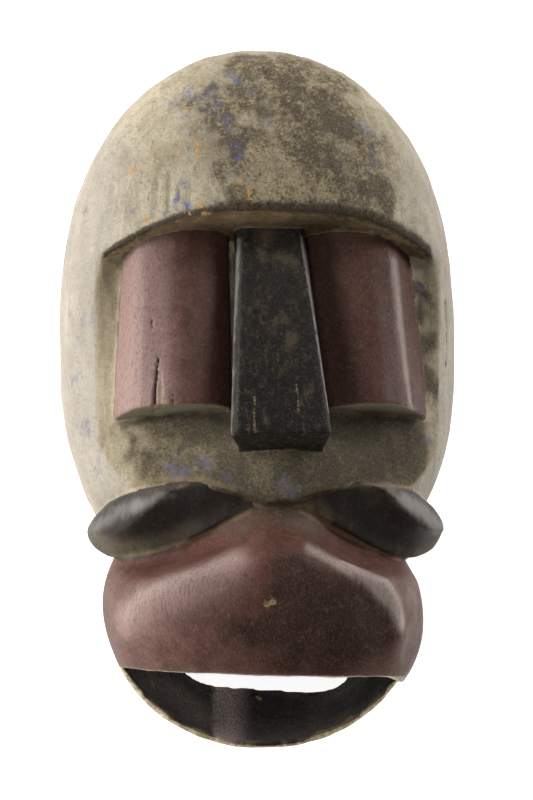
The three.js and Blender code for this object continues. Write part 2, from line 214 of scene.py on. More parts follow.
# %% Sizes and lines of the face
BROW = dict(centre_y=94.6, drop=24.3, half_span=87.0, power=3.0, run_out=8.0, tilt=math.radians(19))
FIELD = dict(
    top_y=82.0,
    bottom_y=-28.0,
    lowest_y=-100.0,
    top_z=45.0,
    bottom_z=93.0,
    cheek_sag=35.0,
    temple_rise=8.0,
    half_width=87.0,
    scoop_x=48.0,
    scoop_y=-24.0,
    scoop_depth=6.0,
    scoop_spread=(24.0, 15.0),
    step_inset=2.0,
    step_run=9.0,
    step_depth=34.0,
    back_step_depth=13.0,
    back_step_rise=11.0,
)
WING = dict(
    inner_x=6.0,
    outer_x=91.2,
    full_x=68.0,
    half_height=17.6,
    inner_power=0.9,
    outer_power=1.7,
    line_y=-50.3,
    line_drop=18.3,
    line_from=5.0,
    line_to=100.0,
    ridge_z=87.0,
    ridge_drop=28.0,
    ridge_from=20.0,
    ridge_power=2.4,
    ridge_share=0.95,
    ridge_leaves_top=46.0,
    ridge_meets_middle=80.0,
    least_rise=1.0,
    lower_z=81.0,
    lower_drop=35.0,
    lower_power=1.5,
    upper_z=88.0,
    upper_drop=32.0,
    upper_power=2.2,
    least_size=0.04,
    hollow=5.0,
    thickness=24.0,
)
REACH = 125.0
CEILING = 210.0
BEHIND = -5.0


def wing_span(x):
    inner = np.clip((x - WING["inner_x"]) / (WING["full_x"] - WING["inner_x"]), 0, 1)
    past = np.clip((x - WING["full_x"]) / (WING["outer_x"] - WING["full_x"]), 0, 1)
    size = np.sin(inner * math.pi / 2) ** WING["inner_power"] * np.sqrt(1 - past ** WING["outer_power"])
    middle = WING["line_y"] - WING["line_drop"] * smooth(x, WING["line_from"], WING["line_to"])
    return middle, np.maximum(size, WING["least_size"])


def wing_low_z(x):
    run = max(0.0, (x - WING["inner_x"]) / (WING["outer_x"] - WING["inner_x"]))
    return WING["lower_z"] - WING["lower_drop"] * run ** WING["lower_power"]


def step_y(x):
    middle, size = wing_span(abs(x))
    return middle + WING["half_height"] * size - FIELD["step_inset"]


def brow_y(x):
    return BROW["centre_y"] - BROW["drop"] * abs(x / BROW["half_span"]) ** BROW["power"]


def field_height(x, y, place):
    down = np.clip((FIELD["top_y"] - y) / (FIELD["top_y"] - FIELD["bottom_y"]), 0, 1)
    out = min(abs(x / FIELD["half_width"]), 1.0)
    across = (abs(x) - FIELD["scoop_x"]) / FIELD["scoop_spread"][0]
    along = (y - FIELD["scoop_y"]) / FIELD["scoop_spread"][1]
    dip = FIELD["scoop_depth"] * np.exp(-across * across - along * along)
    past = np.clip((step_y(x) + place["step_rise"] - y) / FIELD["step_run"], 0, 1)
    height = mix(FIELD["top_z"], FIELD["bottom_z"], down) - FIELD["cheek_sag"] * down * out**2
    return height + FIELD["temple_rise"] * (1 - down) * out**6 - dip - place["step_depth"] * past


# %% [markdown]
# ## What the carver cuts away in front of the face
# The block in front of the face is one solid of waste. Its top is the brow's underside, which
# slopes back and down, and its floor is the face. The same form, sunk and raised by the wall's
# thickness, keeps the hollow behind the face from breaking through.

# %% The waste in front of the face
def face_waste(name, place, columns=120, rows=70):
    slope = math.tan(BROW["tilt"])
    rings = []
    for x in np.linspace(-REACH, REACH, columns + 1):
        edge_y = brow_y(min(abs(x), BROW["half_span"] + BROW["run_out"])) + place["brow_rise"]
        edge_z = egg_height(x, brow_y(x))

        def under(z):
            return edge_y - slope * (edge_z - z)

        def floor(y):
            return field_height(x, y, place) - place["sink"]

        step = step_y(x) + place["step_rise"]
        y = np.linspace(under(floor(edge_y)), step, rows + 1)
        y = np.concatenate([y, step - FIELD["step_run"] * np.array([0.25, 0.5, 0.75, 1.0]), [FIELD["lowest_y"]]])
        line = np.stack([np.full(len(y), x), y, floor(y)], axis=1)
        front = [[x, FIELD["lowest_y"], CEILING], [x, under(CEILING), CEILING]]
        rings.append(np.vstack([line, front]))
    return skin(name, rings)


# %% [markdown]
# ## The eyes
# Each eye is a column that leans out from under the brow. A carver cuts it as a few long facets
# and then scrapes the corners soft. Here its section is a short row of corners that slide from the
# top to the lower end, and each corner is cut off once, which softens it but keeps the facet. The
# lower end is cut square to the leaning front, so its rim arches up where it stands out most. The
# shoulder under the brow is rounded off on the outer side.

# %% Sizes and solid of an eye
EYE = dict(
    top_y=93.0,
    bottom_y=-2.5,
    tilt=math.radians(14),
    root_depth=22.0,
    left=(((20, 49), (24, 83)), ((28, 56), (34, 91)), ((45, 61), (56, 95)), ((67, 58), (74, 86)), ((73, 46), (80.5, 66))),
    right=(((20, 49), (24, 83)), ((32, 56), (38, 91)), ((48, 60), (52, 94)), ((64, 58), (64, 88.5)), ((74, 44), (80, 66))),
    shoulder_y=72.0,
    shoulder_in=5.0,
    shoulder_from=45.0,
)


def cut_corners(line, rounds=1, share=0.16):
    for _ in range(rounds):
        a, b = line[:-1], line[1:]
        cut = np.stack([mix(a, b, share), mix(a, b, 1 - share)], axis=1).reshape(-1, 2)
        line = np.vstack([line[:1], cut[1:-1], line[-1:]])
    return line


def eye_solid(name, side, levels=60):
    corners = np.array(EYE["left"] if side < 0 else EYE["right"], float)
    slope = math.tan(EYE["tilt"])
    front = corners[:, 1, 1].max()
    rings = []
    for level in range(levels + 1):
        rise = level / levels
        line = cut_corners(mix(corners[:, 1], corners[:, 0], rise))
        root = min(line[0, 1], line[-1, 1]) - EYE["root_depth"]
        line = np.vstack([line, [line[-1, 0], root], [line[0, 0], root]])
        y = mix(EYE["bottom_y"], EYE["top_y"], rise)
        past = np.clip((y - EYE["shoulder_y"]) / (EYE["top_y"] - EYE["shoulder_y"]), 0, 1)
        outer = smooth(line[:, 0], EYE["shoulder_from"], EYE["shoulder_from"] + 25)
        x = line[:, 0] - EYE["shoulder_in"] * past**2 * 3 * outer
        ring = np.stack([x * side, y - (1 - rise) * slope * (front - line[:, 1]), line[:, 1]], axis=1)
        rings.append(ring)
    return skin(name, rings)


# %% [markdown]
# ## The nose
# The nose is a plain tapered block that leans out further than the eyes. Its long edges are planed
# off in strips that catch the light, the left one wider, and its sides are cut under a little, as a
# knife does when it works down beside a block.

# %% Sizes and solid of the nose
NOSE = dict(
    top=dict(y=93.0, z=60.0, left=-13.9, right=15.3, under_left=5.0, under_right=1.0),
    bottom=dict(y=-17.0, z=110.0, left=-25.5, right=21.7, under_left=14.0, under_right=2.5),
    left_edge=(3.1, 4.0),
    right_edge=(1.5, 1.8),
    tilt=math.radians(25),
    root_depth=34.0,
)


def nose_solid(name):
    slope = math.tan(NOSE["tilt"])
    rings = []
    for rise in np.linspace(0, 1, 30):
        at = {key: mix(NOSE["bottom"][key], NOSE["top"][key], rise) for key in NOSE["top"]}
        outer_right = at["right"] + NOSE["right_edge"][0]
        outer_left = at["left"] - NOSE["left_edge"][0]
        line = [
            (outer_right - at["under_right"], NOSE["root_depth"]),
            (outer_right, NOSE["right_edge"][1]),
            (at["right"], 0),
            (at["left"], 0),
            (outer_left, NOSE["left_edge"][1]),
            (outer_left + at["under_left"], NOSE["root_depth"]),
        ]
        rings.append([[x, at["y"] - (1 - rise) * slope * deep, at["z"] - deep] for x, deep in line])
    return skin(name, rings)


# %% [markdown]
# ## The muzzle and the lip's crest
# The muzzle is a broad squarish dome. Above its crest the carver cut a slope down and back to a
# crease along the lower edges of the wings. In the middle a keel stays high between two valleys.
# It leans a little to the left above the mouth, as the hand did it.

# %% Sizes of the muzzle
MUZZLE = dict(
    centre_y=-108.7,
    half_width=82.0,
    half_height=70.8,
    equator_z=44.0,
    reach=66.0,
    power=2.4,
    back_half_width=70.0,
    back_half_height=53.0,
    back_shift_x=7.0,
    back_z=0.0,
    lean_x=-2.2,
    lean_from_y=-130.0,
    lean_to_y=-93.0,
    crease_shift=0.0,
    crease_wall=0.0,
    back_tilt=0.0,
    back_power=2.0,
)
CREASE = dict(
    centre_y=-50.5,
    drop=30.0,
    half_span=75.0,
    power=1.3,
    depth=29.0,
    depth_at_end=17.0,
    ends_from=55.0,
    depth_at_keel=11.0,
    keel_half=42.0,
    slope_at_keel=29.0,
    slope_at_end=13.0,
    slope_ends_at=60.0,
    proud=0.5,
    top_y=-20.0,
    overhang=8.0,
    under_wing=1.5,
)


def muzzle_lean(y):
    return MUZZLE["lean_x"] * smooth(y, MUZZLE["lean_from_y"], MUZZLE["lean_to_y"])


def bulge_height(x, y, form):
    radius = np.hypot((x - muzzle_lean(y)) / form["half_width"], (y - form["centre_y"]) / form["half_height"])
    inside = np.maximum(0, 1 - radius ** form["power"])
    return form["equator_z"] + form["reach"] * inside ** (1 / form["power"])


# %% [markdown]
# The waste above the crest is cut by one solid whose floor falls from the crest to the crease in a
# quarter of a sine, steep at the crest and level in the crease.

# %% The muzzle's solid
def crease_waste(name, form, stations=110, steps=18):
    reach = form["half_width"] + CREASE["overhang"]
    rings = []
    for x in np.linspace(-reach, reach, stations + 1):
        out = abs(x)
        share = min(out / CREASE["half_span"], 1.0)
        crease_y = CREASE["centre_y"] - CREASE["drop"] * math.sin(share * math.pi / 2) ** CREASE["power"]
        crease_y -= form["crease_shift"]
        ends = smooth(out, CREASE["ends_from"], CREASE["half_span"])
        beside = mix(CREASE["depth"], CREASE["depth_at_end"], ends)
        depth = mix(CREASE["depth_at_keel"], beside, smooth(out, 0, CREASE["keel_half"]))
        wing_edge = wing_low_z(out) - CREASE["under_wing"] - form["crease_wall"]
        depth = max(depth, bulge_height(x, crease_y, form) + CREASE["proud"] - wing_edge)
        eases = smooth(out, 0, CREASE["slope_ends_at"])
        crest_y = crease_y - mix(CREASE["slope_at_keel"], CREASE["slope_at_end"], eases)
        down = np.linspace(0, 1, steps + 1)
        y = mix(crest_y, crease_y, down)
        z = bulge_height(x, y, form) + CREASE["proud"] - depth * np.sin(down * math.pi / 2)
        slope = np.stack([np.full(steps + 1, x), y, z], axis=1)
        top = [[x, CREASE["top_y"], z[-1]], [x, CREASE["top_y"], CEILING]]
        rings.append(np.vstack([[[x, crest_y, CEILING]], slope, top]))
    return skin(name, rings)


def muzzle_solid(name, form, sides=200, levels=46):
    turn = np.arange(sides) / sides * 2 * math.pi

    def squarer(values, power):
        return np.sign(values) * np.abs(values) ** (2 / power)

    def oval(half_width, half_height, shift_x, z, power=2.0, tilt=0.0):
        x = half_width * squarer(np.cos(turn), power)
        y = form["centre_y"] + half_height * squarer(np.sin(turn), power) - tilt * x
        return np.stack([shift_x + muzzle_lean(y) + x, y, np.full(sides, z)], axis=1)

    rings = []
    for share in np.linspace(0, 1, 17)[:-1]:
        swell = math.sin(share * math.pi / 2)
        wide = mix(form["back_half_width"], form["half_width"], swell)
        high = mix(form["back_half_height"], form["half_height"], swell)
        z = mix(form["back_z"], form["equator_z"], share)
        power = mix(2, form["back_power"], (1 - swell) ** 3)
        rings.append(oval(wide, high, form["back_shift_x"] * (1 - swell), z, power, form["back_tilt"] * (1 - swell)))
    for level in range(levels):
        angle = level / levels * math.pi / 2
        plan = math.cos(angle) ** (2 / form["power"])
        z = form["equator_z"] + math.sin(angle) ** (2 / form["power"]) * form["reach"]
        rings.append(oval(form["half_width"] * plan, form["half_height"] * plan, 0, z))
    muzzle = skin(name, rings)
    combine(muzzle, crease_waste(name + "_crease", form), "DIFFERENCE")
    return muzzle


# %% [markdown]
# ## The nostril wings
# Each wing is a leaf. A ridge runs along its upper edge and swings down to the middle at the outer
# end. Above the ridge a facet faces up to the light, and below it the wood is scooped hollow down
# to the lower edge. The sections are stacked from the nose outwards.

# %% The wings' solid
def wing_solid(name, side, stations=70, steps=16):
    rings = []
    for x in mix(WING["inner_x"], WING["outer_x"], 0.5 - 0.5 * np.cos(np.linspace(0, math.pi, stations + 1))):
        middle, size = wing_span(x)
        run = (x - WING["inner_x"]) / (WING["outer_x"] - WING["inner_x"])
        ridge_run = max(0.0, (x - WING["ridge_from"]) / (WING["outer_x"] - WING["ridge_from"]))
        ridge_z = WING["ridge_z"] - WING["ridge_drop"] * ridge_run ** WING["ridge_power"]
        leaving = smooth(x, WING["ridge_leaves_top"], WING["ridge_meets_middle"])
        ridge_at = WING["ridge_share"] * (1 - leaving)
        low_z = wing_low_z(x)
        high_z = min(WING["upper_z"] - WING["upper_drop"] * run ** WING["upper_power"], ridge_z - WING["least_rise"])
        back = WING["thickness"] * math.sqrt(size)
        upper = np.linspace(0, 1, 6)[:-1]
        section = np.stack([mix(1, ridge_at, upper), high_z + (ridge_z - high_z) * np.sin(upper * math.pi / 2)], axis=1)
        down = np.linspace(0, 1, steps + 1)
        dip = WING["hollow"] * size * np.sin(math.pi * down)
        hollow_face = np.stack([mix(ridge_at, -1, down), mix(ridge_z, low_z, down) - dip], axis=1)
        behind = [
            [-0.93, low_z - 0.35 * back],
            [-0.75, low_z - 0.7 * back],
            [-0.2, low_z - back],
            [0.5, low_z - back],
            [0.95, high_z - 0.7 * back],
        ]
        section = np.vstack([section, hollow_face, behind])
        y = middle + WING["half_height"] * size * section[:, 0]
        rings.append(np.stack([np.full(len(y), x * side), y, section[:, 1]], axis=1))
    return skin(name, rings)


# %% [markdown]
# ## The hollow and the mouth
# The back is gouged out so that a wearer's face fits, with walls that follow the front. The mouth
# is cut straight in below the upper lip, down to the jaw's rim, so the jaw is left as an open scoop.

# %% The hollow's and the mouth's solids
WALL = dict(side=9.4, crown=10.5, neck=6.2, chin_side=29.0, chin_foot=15.0, front=12.0, brow=12.0, cheek=18.0)
WALL.update(jaw=3.6, lip=13.0, crease=6.0, under_wing=10.0)
CHIN_SHIFT = 9.2
CHIN_TILT = 0.08
CHIN_POWER = 7.0
MOUTH = dict(
    lip_y=-138.8,
    lip_slope=-0.03,
    corner_droop=6.0,
    droop_from=52.0,
    droop_to=76.0,
    rim_z=43.0,
    rim_rise=0.08,
    lowest_y=-240.0,
)


def hollow_solid(name):
    inner = dict(
        HEAD,
        half_width=HEAD["half_width"] - WALL["side"],
        crown_rise=HEAD["crown_rise"] - WALL["crown"],
        chin_drop=HEAD["chin_drop"] - WALL["neck"],
        dome_depth=HEAD["dome_depth"] - WALL["front"],
        cheek_depth=HEAD["cheek_depth"] - WALL["cheek"],
        rim_tuck=0.0,
    )
    behind = dict(
        sink=WALL["front"],
        brow_rise=WALL["brow"],
        step_rise=FIELD["back_step_rise"],
        step_depth=FIELD["back_step_depth"],
    )
    head = egg_solid(name, inner, BEHIND, sides=160, levels=40)
    combine(head, face_waste("behind_face", behind, columns=80, rows=40), "DIFFERENCE")
    muzzle = dict(
        MUZZLE,
        half_width=MUZZLE["half_width"] - WALL["jaw"],
        half_height=MUZZLE["half_height"] - WALL["jaw"],
        reach=MUZZLE["reach"] - WALL["lip"],
        back_half_width=MUZZLE["back_half_width"] - WALL["chin_side"],
        back_half_height=MUZZLE["back_half_height"] - WALL["chin_foot"],
        back_shift_x=CHIN_SHIFT,
        back_z=BEHIND,
        crease_shift=WALL["crease"],
        crease_wall=WALL["under_wing"],
        back_tilt=CHIN_TILT,
        back_power=CHIN_POWER,
    )
    combine(head, muzzle_solid("behind_muzzle", muzzle, sides=140, levels=32), "UNION")
    return head


def mouth_waste(name, stations=120):
    rings = []
    for x in np.linspace(-REACH, REACH, stations + 1):
        droop = MOUTH["corner_droop"] * smooth(x, MOUTH["droop_from"], MOUTH["droop_to"])
        lip = MOUTH["lip_y"] + MOUTH["lip_slope"] * x - droop
        low = MOUTH["lowest_y"]

        def rim(y):
            return MOUTH["rim_z"] + MOUTH["rim_rise"] * (MOUTH["lip_y"] - y)

        rings.append([[x, lip, rim(lip)], [x, low, rim(low)], [x, low, CEILING], [x, lip, CEILING]])
    return skin(name, rings)


# %% [markdown]
# ## Carving the block
# The forms are joined in the order in which they stand on the head, and then the hollow and the
# mouth are cut. Each form's own surface is kept for a while, because later the nearest form tells
# which part of the mask a point belongs to.

# %% Join the forms and cut the block
FORMS = ("head", "face", "eyes", "nose", "muzzle", "wings", "hollow", "mouth")
form_points = []
form_faces = []
form_of_face = []


def remember(piece, form):
    start = sum(len(points) for points in form_points)
    mesh = piece.data
    form_points.append([v.co.copy() for v in mesh.vertices])
    for face in mesh.polygons:
        form_faces.append([start + i for i in face.vertices])
        form_of_face.append(FORMS.index(form))


mask = egg_solid("painted_mask", HEAD, 0.0)
remember(mask, "head")
face = face_waste("waste_in_front", dict(sink=0.0, brow_rise=0.0, step_rise=0.0, step_depth=FIELD["step_depth"]))
remember(face, "face")
combine(mask, face, "DIFFERENCE")
muzzle = muzzle_solid("muzzle", MUZZLE)
remember(muzzle, "muzzle")
combine(mask, muzzle, "UNION")
for side in (-1, 1):
    wing = wing_solid("wing", side)
    remember(wing, "wings")
    combine(mask, wing, "UNION")
    eye = eye_solid("eye", side)
    remember(eye, "eyes")
    combine(mask, eye, "UNION")
nose = nose_solid("nose")
remember(nose, "nose")
combine(mask, nose, "UNION")
hollow = hollow_solid("hollow")
remember(hollow, "hollow")
combine(mask, hollow, "DIFFERENCE")
mouth = mouth_waste("mouth")
remember(mouth, "mouth")
combine(mask, mouth, "DIFFERENCE")
print("the carved block has", len(mask.data.polygons), "faces")

# %% [markdown]
# ## One even skin, and softened edges
# The joined block has long thin faces where forms meet. A voxel remesh lays an even skin of small
# quads over it, fine enough for tool marks. Then each point moves a little towards the middle of
# its neighbours, which rounds the edges as years of handling did.

# %% Remesh and soften
SKIN_SIZE = 1.0
SOFTENING_ROUNDS = 7

even = mask.modifiers.new("even_skin", "REMESH")
even.mode = "VOXEL"
even.voxel_size = SKIN_SIZE * MM
settle(mask)


class Wood:
    """The mask's points in millimetres, with their neighbours and normals."""

    def __init__(self, piece):
        self.mesh = piece.data
        count = len(self.mesh.vertices)
        flat = np.empty(count * 3, np.float32)
        self.mesh.vertices.foreach_get("co", flat)
        self.points = flat.reshape(-1, 3).astype(float) / MM
        ends = np.empty(len(self.mesh.edges) * 2, np.int32)
        self.mesh.edges.foreach_get("vertices", ends)
        self.a, self.b = ends.reshape(-1, 2).T
        self.ties = np.bincount(self.a, minlength=count) + np.bincount(self.b, minlength=count)

    def around(self, values):
        total = np.bincount(self.a, values[self.b], len(self.ties)) + np.bincount(self.b, values[self.a], len(self.ties))
        return total / self.ties

    def spread(self, values, rounds):
        for _ in range(rounds):
            values = 0.5 * values + 0.5 * self.around(values)
        return values

    def store(self):
        self.mesh.vertices.foreach_set("co", (self.points * MM).astype(np.float32).ravel())
        self.mesh.update()

    def normals(self):
        flat = np.empty(len(self.mesh.vertices) * 3, np.float32)
        self.mesh.vertex_normals.foreach_get("vector", flat)
        return flat.reshape(-1, 3).astype(float)


wood = Wood(mask)
for axis in range(3):
    wood.points[:, axis] = wood.spread(wood.points[:, axis], SOFTENING_ROUNDS)
wood.points[:, 2] = np.maximum(wood.points[:, 2], 0.0)
wood.store()
print("the even skin has", len(wood.points), "points")

# %% [markdown]
# ## The camera, at the photograph's viewing angle
# The mask lies on its back and the camera looks down on it, turned ten degrees to its left. A long
# lens from two and a half metres keeps the lines nearly parallel, as in a catalogue photograph. The
# camera is made now, because the marks on the wood are placed by looking through it.

# %% Camera
TURN = math.radians(-10)
TOWARDS = Vector((math.sin(TURN), 0, math.cos(TURN)))
ACROSS = Vector((math.cos(TURN), 0, -math.sin(TURN)))
UP = Vector((0, 1, 0))
DISTANCE = 2500.0
AIM = (8.42, -0.77)
MEASURED_Z = 25.0
PIXEL = 0.5165
FRAME_SIZE = (533, 800)

camera = bpy.data.objects.new("camera", bpy.data.cameras.new("camera"))
bpy.context.scene.collection.objects.link(camera)
stand = ACROSS * AIM[0] + UP * AIM[1] + TOWARDS * DISTANCE
camera.matrix_world = Matrix.Translation(stand * MM) @ Matrix((ACROSS, UP, TOWARDS)).transposed().to_4x4()
camera.data.sensor_width = 36
camera.data.lens = 36 * (DISTANCE - MEASURED_Z) / (FRAME_SIZE[1] * PIXEL)
bpy.context.scene.camera = camera
print("lens", round(camera.data.lens, 1), "mm")

# %% [markdown]
# ## Where a mark lies on the wood
# `on_wood` follows the line of sight through one pixel of the photograph until it meets the carved
# surface, so a crack or a chip sits on the wood wherever the form puts it. `along` does the same
# for a line of such places and fills in the steps between them.

# %% Find places on the wood
sight = BVHTree.FromObject(mask, bpy.context.evaluated_depsgraph_get())


def on_wood(px, py):
    x = AIM[0] + (px - FRAME_SIZE[0] / 2) * PIXEL
    y = AIM[1] - (py - FRAME_SIZE[1] / 2) * PIXEL
    seen = ACROSS * x + UP * y + TOWARDS * MEASURED_Z
    hit = sight.ray_cast(stand * MM, (seen - stand).normalized())[0]
    return None if hit is None else np.array(hit) / MM


def along(path, step=2.0):
    places = []
    for (ax, ay), (bx, by) in zip(path[:-1], path[1:]):
        count = max(1, int(math.hypot(bx - ax, by - ay) / step))
        places += [(mix(ax, bx, i / count), mix(ay, by, i / count)) for i in range(count)]
    places.append(path[-1])
    return np.array([p for p in (on_wood(*place) for place in places) if p is not None])


# %% [markdown]
# ## Which part of the mask a point belongs to
# Every point of the even skin lies on the surface of one of the forms, so the nearest form's face
# tells which part it is. The result is a soft share for each part, from 0 to 1, that the tool marks
# and the paint both use.

# %% Share the points out among the forms
form_tree = BVHTree.FromPolygons([p for points in form_points for p in points], form_faces)
nearest = np.array([form_of_face[form_tree.find_nearest(p)[2]] for p in (wood.points * MM).tolist()])
part = {form: wood.spread((nearest == i).astype(float), 2) for i, form in enumerate(FORMS)}
print({form: int((nearest == i).sum()) for i, form in enumerate(FORMS)})

# %% [markdown]
# ## Strokes of the knife, splits and bruises
# Each stroke is a path seen in the photograph, with a width and a depth in millimetres: a positive
# depth cuts in, and a negative one is a rise that the carver left standing. A round stroke is a
# gouge mark, and a split is a sharp opening along the grain. The wood moves along its own normal.
# Last, the brow's edge, the muzzle and the feet of the wings are rubbed smooth, as hands wore them.

# %% Knife strokes
STROKES = [
    # what it is, path, width at each end, depth, sharp
    ("left lip crest", [(238, 556), (214, 563), (187, 575), (160, 586), (138, 598), (122, 620)], (8, 12), -2.6, False),
    ("right lip crest", [(306, 543), (340, 566), (367, 577), (386, 589), (395, 606), (396, 636)], (5, 5.5), -3.4, False),
    ("right side hollow", [(414, 580), (418, 612), (412, 650)], (9, 9), 1.2, False),
    ("left valley", [(128, 561), (167, 557), (205, 551), (236, 539)], (6, 6), 2.2, False),
    ("right valley", [(300, 528), (335, 540), (368, 556)], (6, 6), 2.0, False),
    ("crown edge", [(205, 80), (245, 63), (300, 71), (340, 95)], (6, 6), -0.7, False),
    ("first flute", [(170, 174), (169, 205), (166, 229)], (1.6, 2.4), 0.75, False),
    ("second flute", [(180, 190), (179, 208), (177, 226)], (1.5, 2.0), 0.55, False),
    ("third flute", [(191, 182), (189, 205), (186, 221)], (1.8, 2.2), 0.4, False),
    ("fourth flute", [(158, 182), (157, 210), (153, 236)], (1.6, 2.6), 0.5, False),
    ("left eye split", [(158, 358), (156.5, 374), (155, 390), (154.5, 402), (155, 414)], (0.6, 1.7), 2.6, True),
    ("left eye split lip", [(160, 372), (160.5, 390), (160.5, 410)], (1.0, 1.7), 0.8, False),
    ("left eye lower split", [(173, 392), (173, 408)], (0.5, 0.8), 1.0, True),
    ("left eye small split", [(152, 318), (151.5, 328)], (0.6, 0.6), 0.7, True),
    ("left eye nick", [(137, 368), (137, 374)], (0.6, 0.6), 0.6, True),
    ("right temple split", [(446, 300), (446.5, 330), (446, 366)], (0.7, 0.9), 1.4, True),
    ("right temple upper split", [(437, 190), (441, 215), (444, 245), (445, 275)], (0.6, 0.7), 0.9, True),
    ("right brow split", [(428, 165), (434, 190), (437, 215)], (0.5, 0.5), 0.7, True),
    ("nose scratch", [(254, 398), (254.5, 415), (253.5, 432)], (0.8, 0.8), 0.5, True),
    ("nose notch", [(325, 399), (328, 410)], (0.8, 0.8), 0.7, True),
    ("nose edge bruise", [(301, 262), (302, 266)], (1.6, 1.6), 0.5, False),
    ("lip chip", [(266, 604), (274, 602)], (1.5, 1.2), 0.6, False),
    ("cheek hollow under the left eye", [(145, 426), (180, 422), (215, 430)], (9, 9), 1.2, False),
    ("cheek hollow under the right eye", [(350, 428), (378, 422), (402, 430)], (7, 7), 1.0, False),
    ("jaw inner facet", [(212, 692), (214, 735)], (2.0, 2.0), 0.8, False),
    ("jaw inner rise", [(243, 692), (243, 735)], (3.0, 3.0), -0.8, False),
    ("jaw right hollow", [(310, 695), (308, 735)], (4.0, 4.0), 0.7, False),
    ("jaw chip", [(152, 683), (154, 688)], (1.2, 1.2), 0.8, False),
    ("second jaw chip", [(257, 697), (260, 699)], (1.2, 1.2), 0.7, False),
    ("left brow notch", [(97, 262), (106, 258)], (1.6, 2.0), 0.9, False),
    ("brow bruise", [(214, 219), (226, 216)], (2.6, 2.6), 0.9, False),
    ("right brow bruise", [(345, 219), (362, 222)], (3.0, 3.0), 0.8, False),
]


def near_path(path, widths):
    """For every point: how near it is to the path, as a share of the stroke's width there."""
    places = along(path)
    widths = np.linspace(widths[0], widths[1], len(places))
    reach = 3 * widths.max()
    box = np.all((wood.points > places.min(0) - reach) & (wood.points < places.max(0) + reach), axis=1)
    which = np.nonzero(box)[0]
    apart = np.linalg.norm(wood.points[which, None] - places[None], axis=2) / widths[None]
    return which, apart.min(axis=1)


normals = wood.normals()
moved = np.zeros(len(wood.points))
split_share = np.zeros(len(wood.points))
for what, path, widths, depth, sharp in STROKES:
    which, apart = near_path(path, widths)
    share = np.clip(1 - apart, 0, 1) if sharp else np.exp(-apart * apart)
    moved[which] -= depth * share
    if sharp:
        split_share[which] = np.maximum(split_share[which], share)
wood.points += normals * moved[:, None]



def rub(share, rounds):
    """Scrape and rub the wood smooth where the share is high."""
    for _ in range(rounds):
        for axis in range(3):
            pull = wood.around(wood.points[:, axis]) - wood.points[:, axis]
            wood.points[:, axis] += 0.5 * share * pull


x, y, z = wood.points.T
lip_line = MOUTH["lip_y"] + MOUTH["lip_slope"] * x
away = (y - brow_y(np.clip(x, -90, 90))) / 5.0
rub(np.exp(-away * away) * smooth(z, 42, 52) * (1 - part["nose"]), 26)
rub(part["muzzle"] * smooth(z, 40, 55) * smooth(y - lip_line, 3, 9), 40)
touching = wood.spread(part["wings"], 14) * wood.spread(part["muzzle"] + part["face"], 14)
rub(smooth(touching, 0.04, 0.16) * smooth(z, 25, 40), 45)
keel_foot = wood.spread(part["muzzle"], 22) * wood.spread(part["face"] + part["head"], 22)
rub(smooth(keel_foot, 0.01, 0.1) * smooth(z, 25, 40), 100)
wood.store()
print(len(STROKES), "strokes, deepest", round(-moved.min(), 1), "mm")

# %% [markdown]
# ## Tool marks from Geometry Nodes
# The adze and the knife leave shallow facets all over, longer than they are wide, and the grain
# stands up a little where paint has worn. These marks repeat over the whole surface, so a node tree
# makes them: each point moves along its normal by the sum of three patterns. The right eye's outer
# strip was never scraped smooth, so it has short raised fibres too.

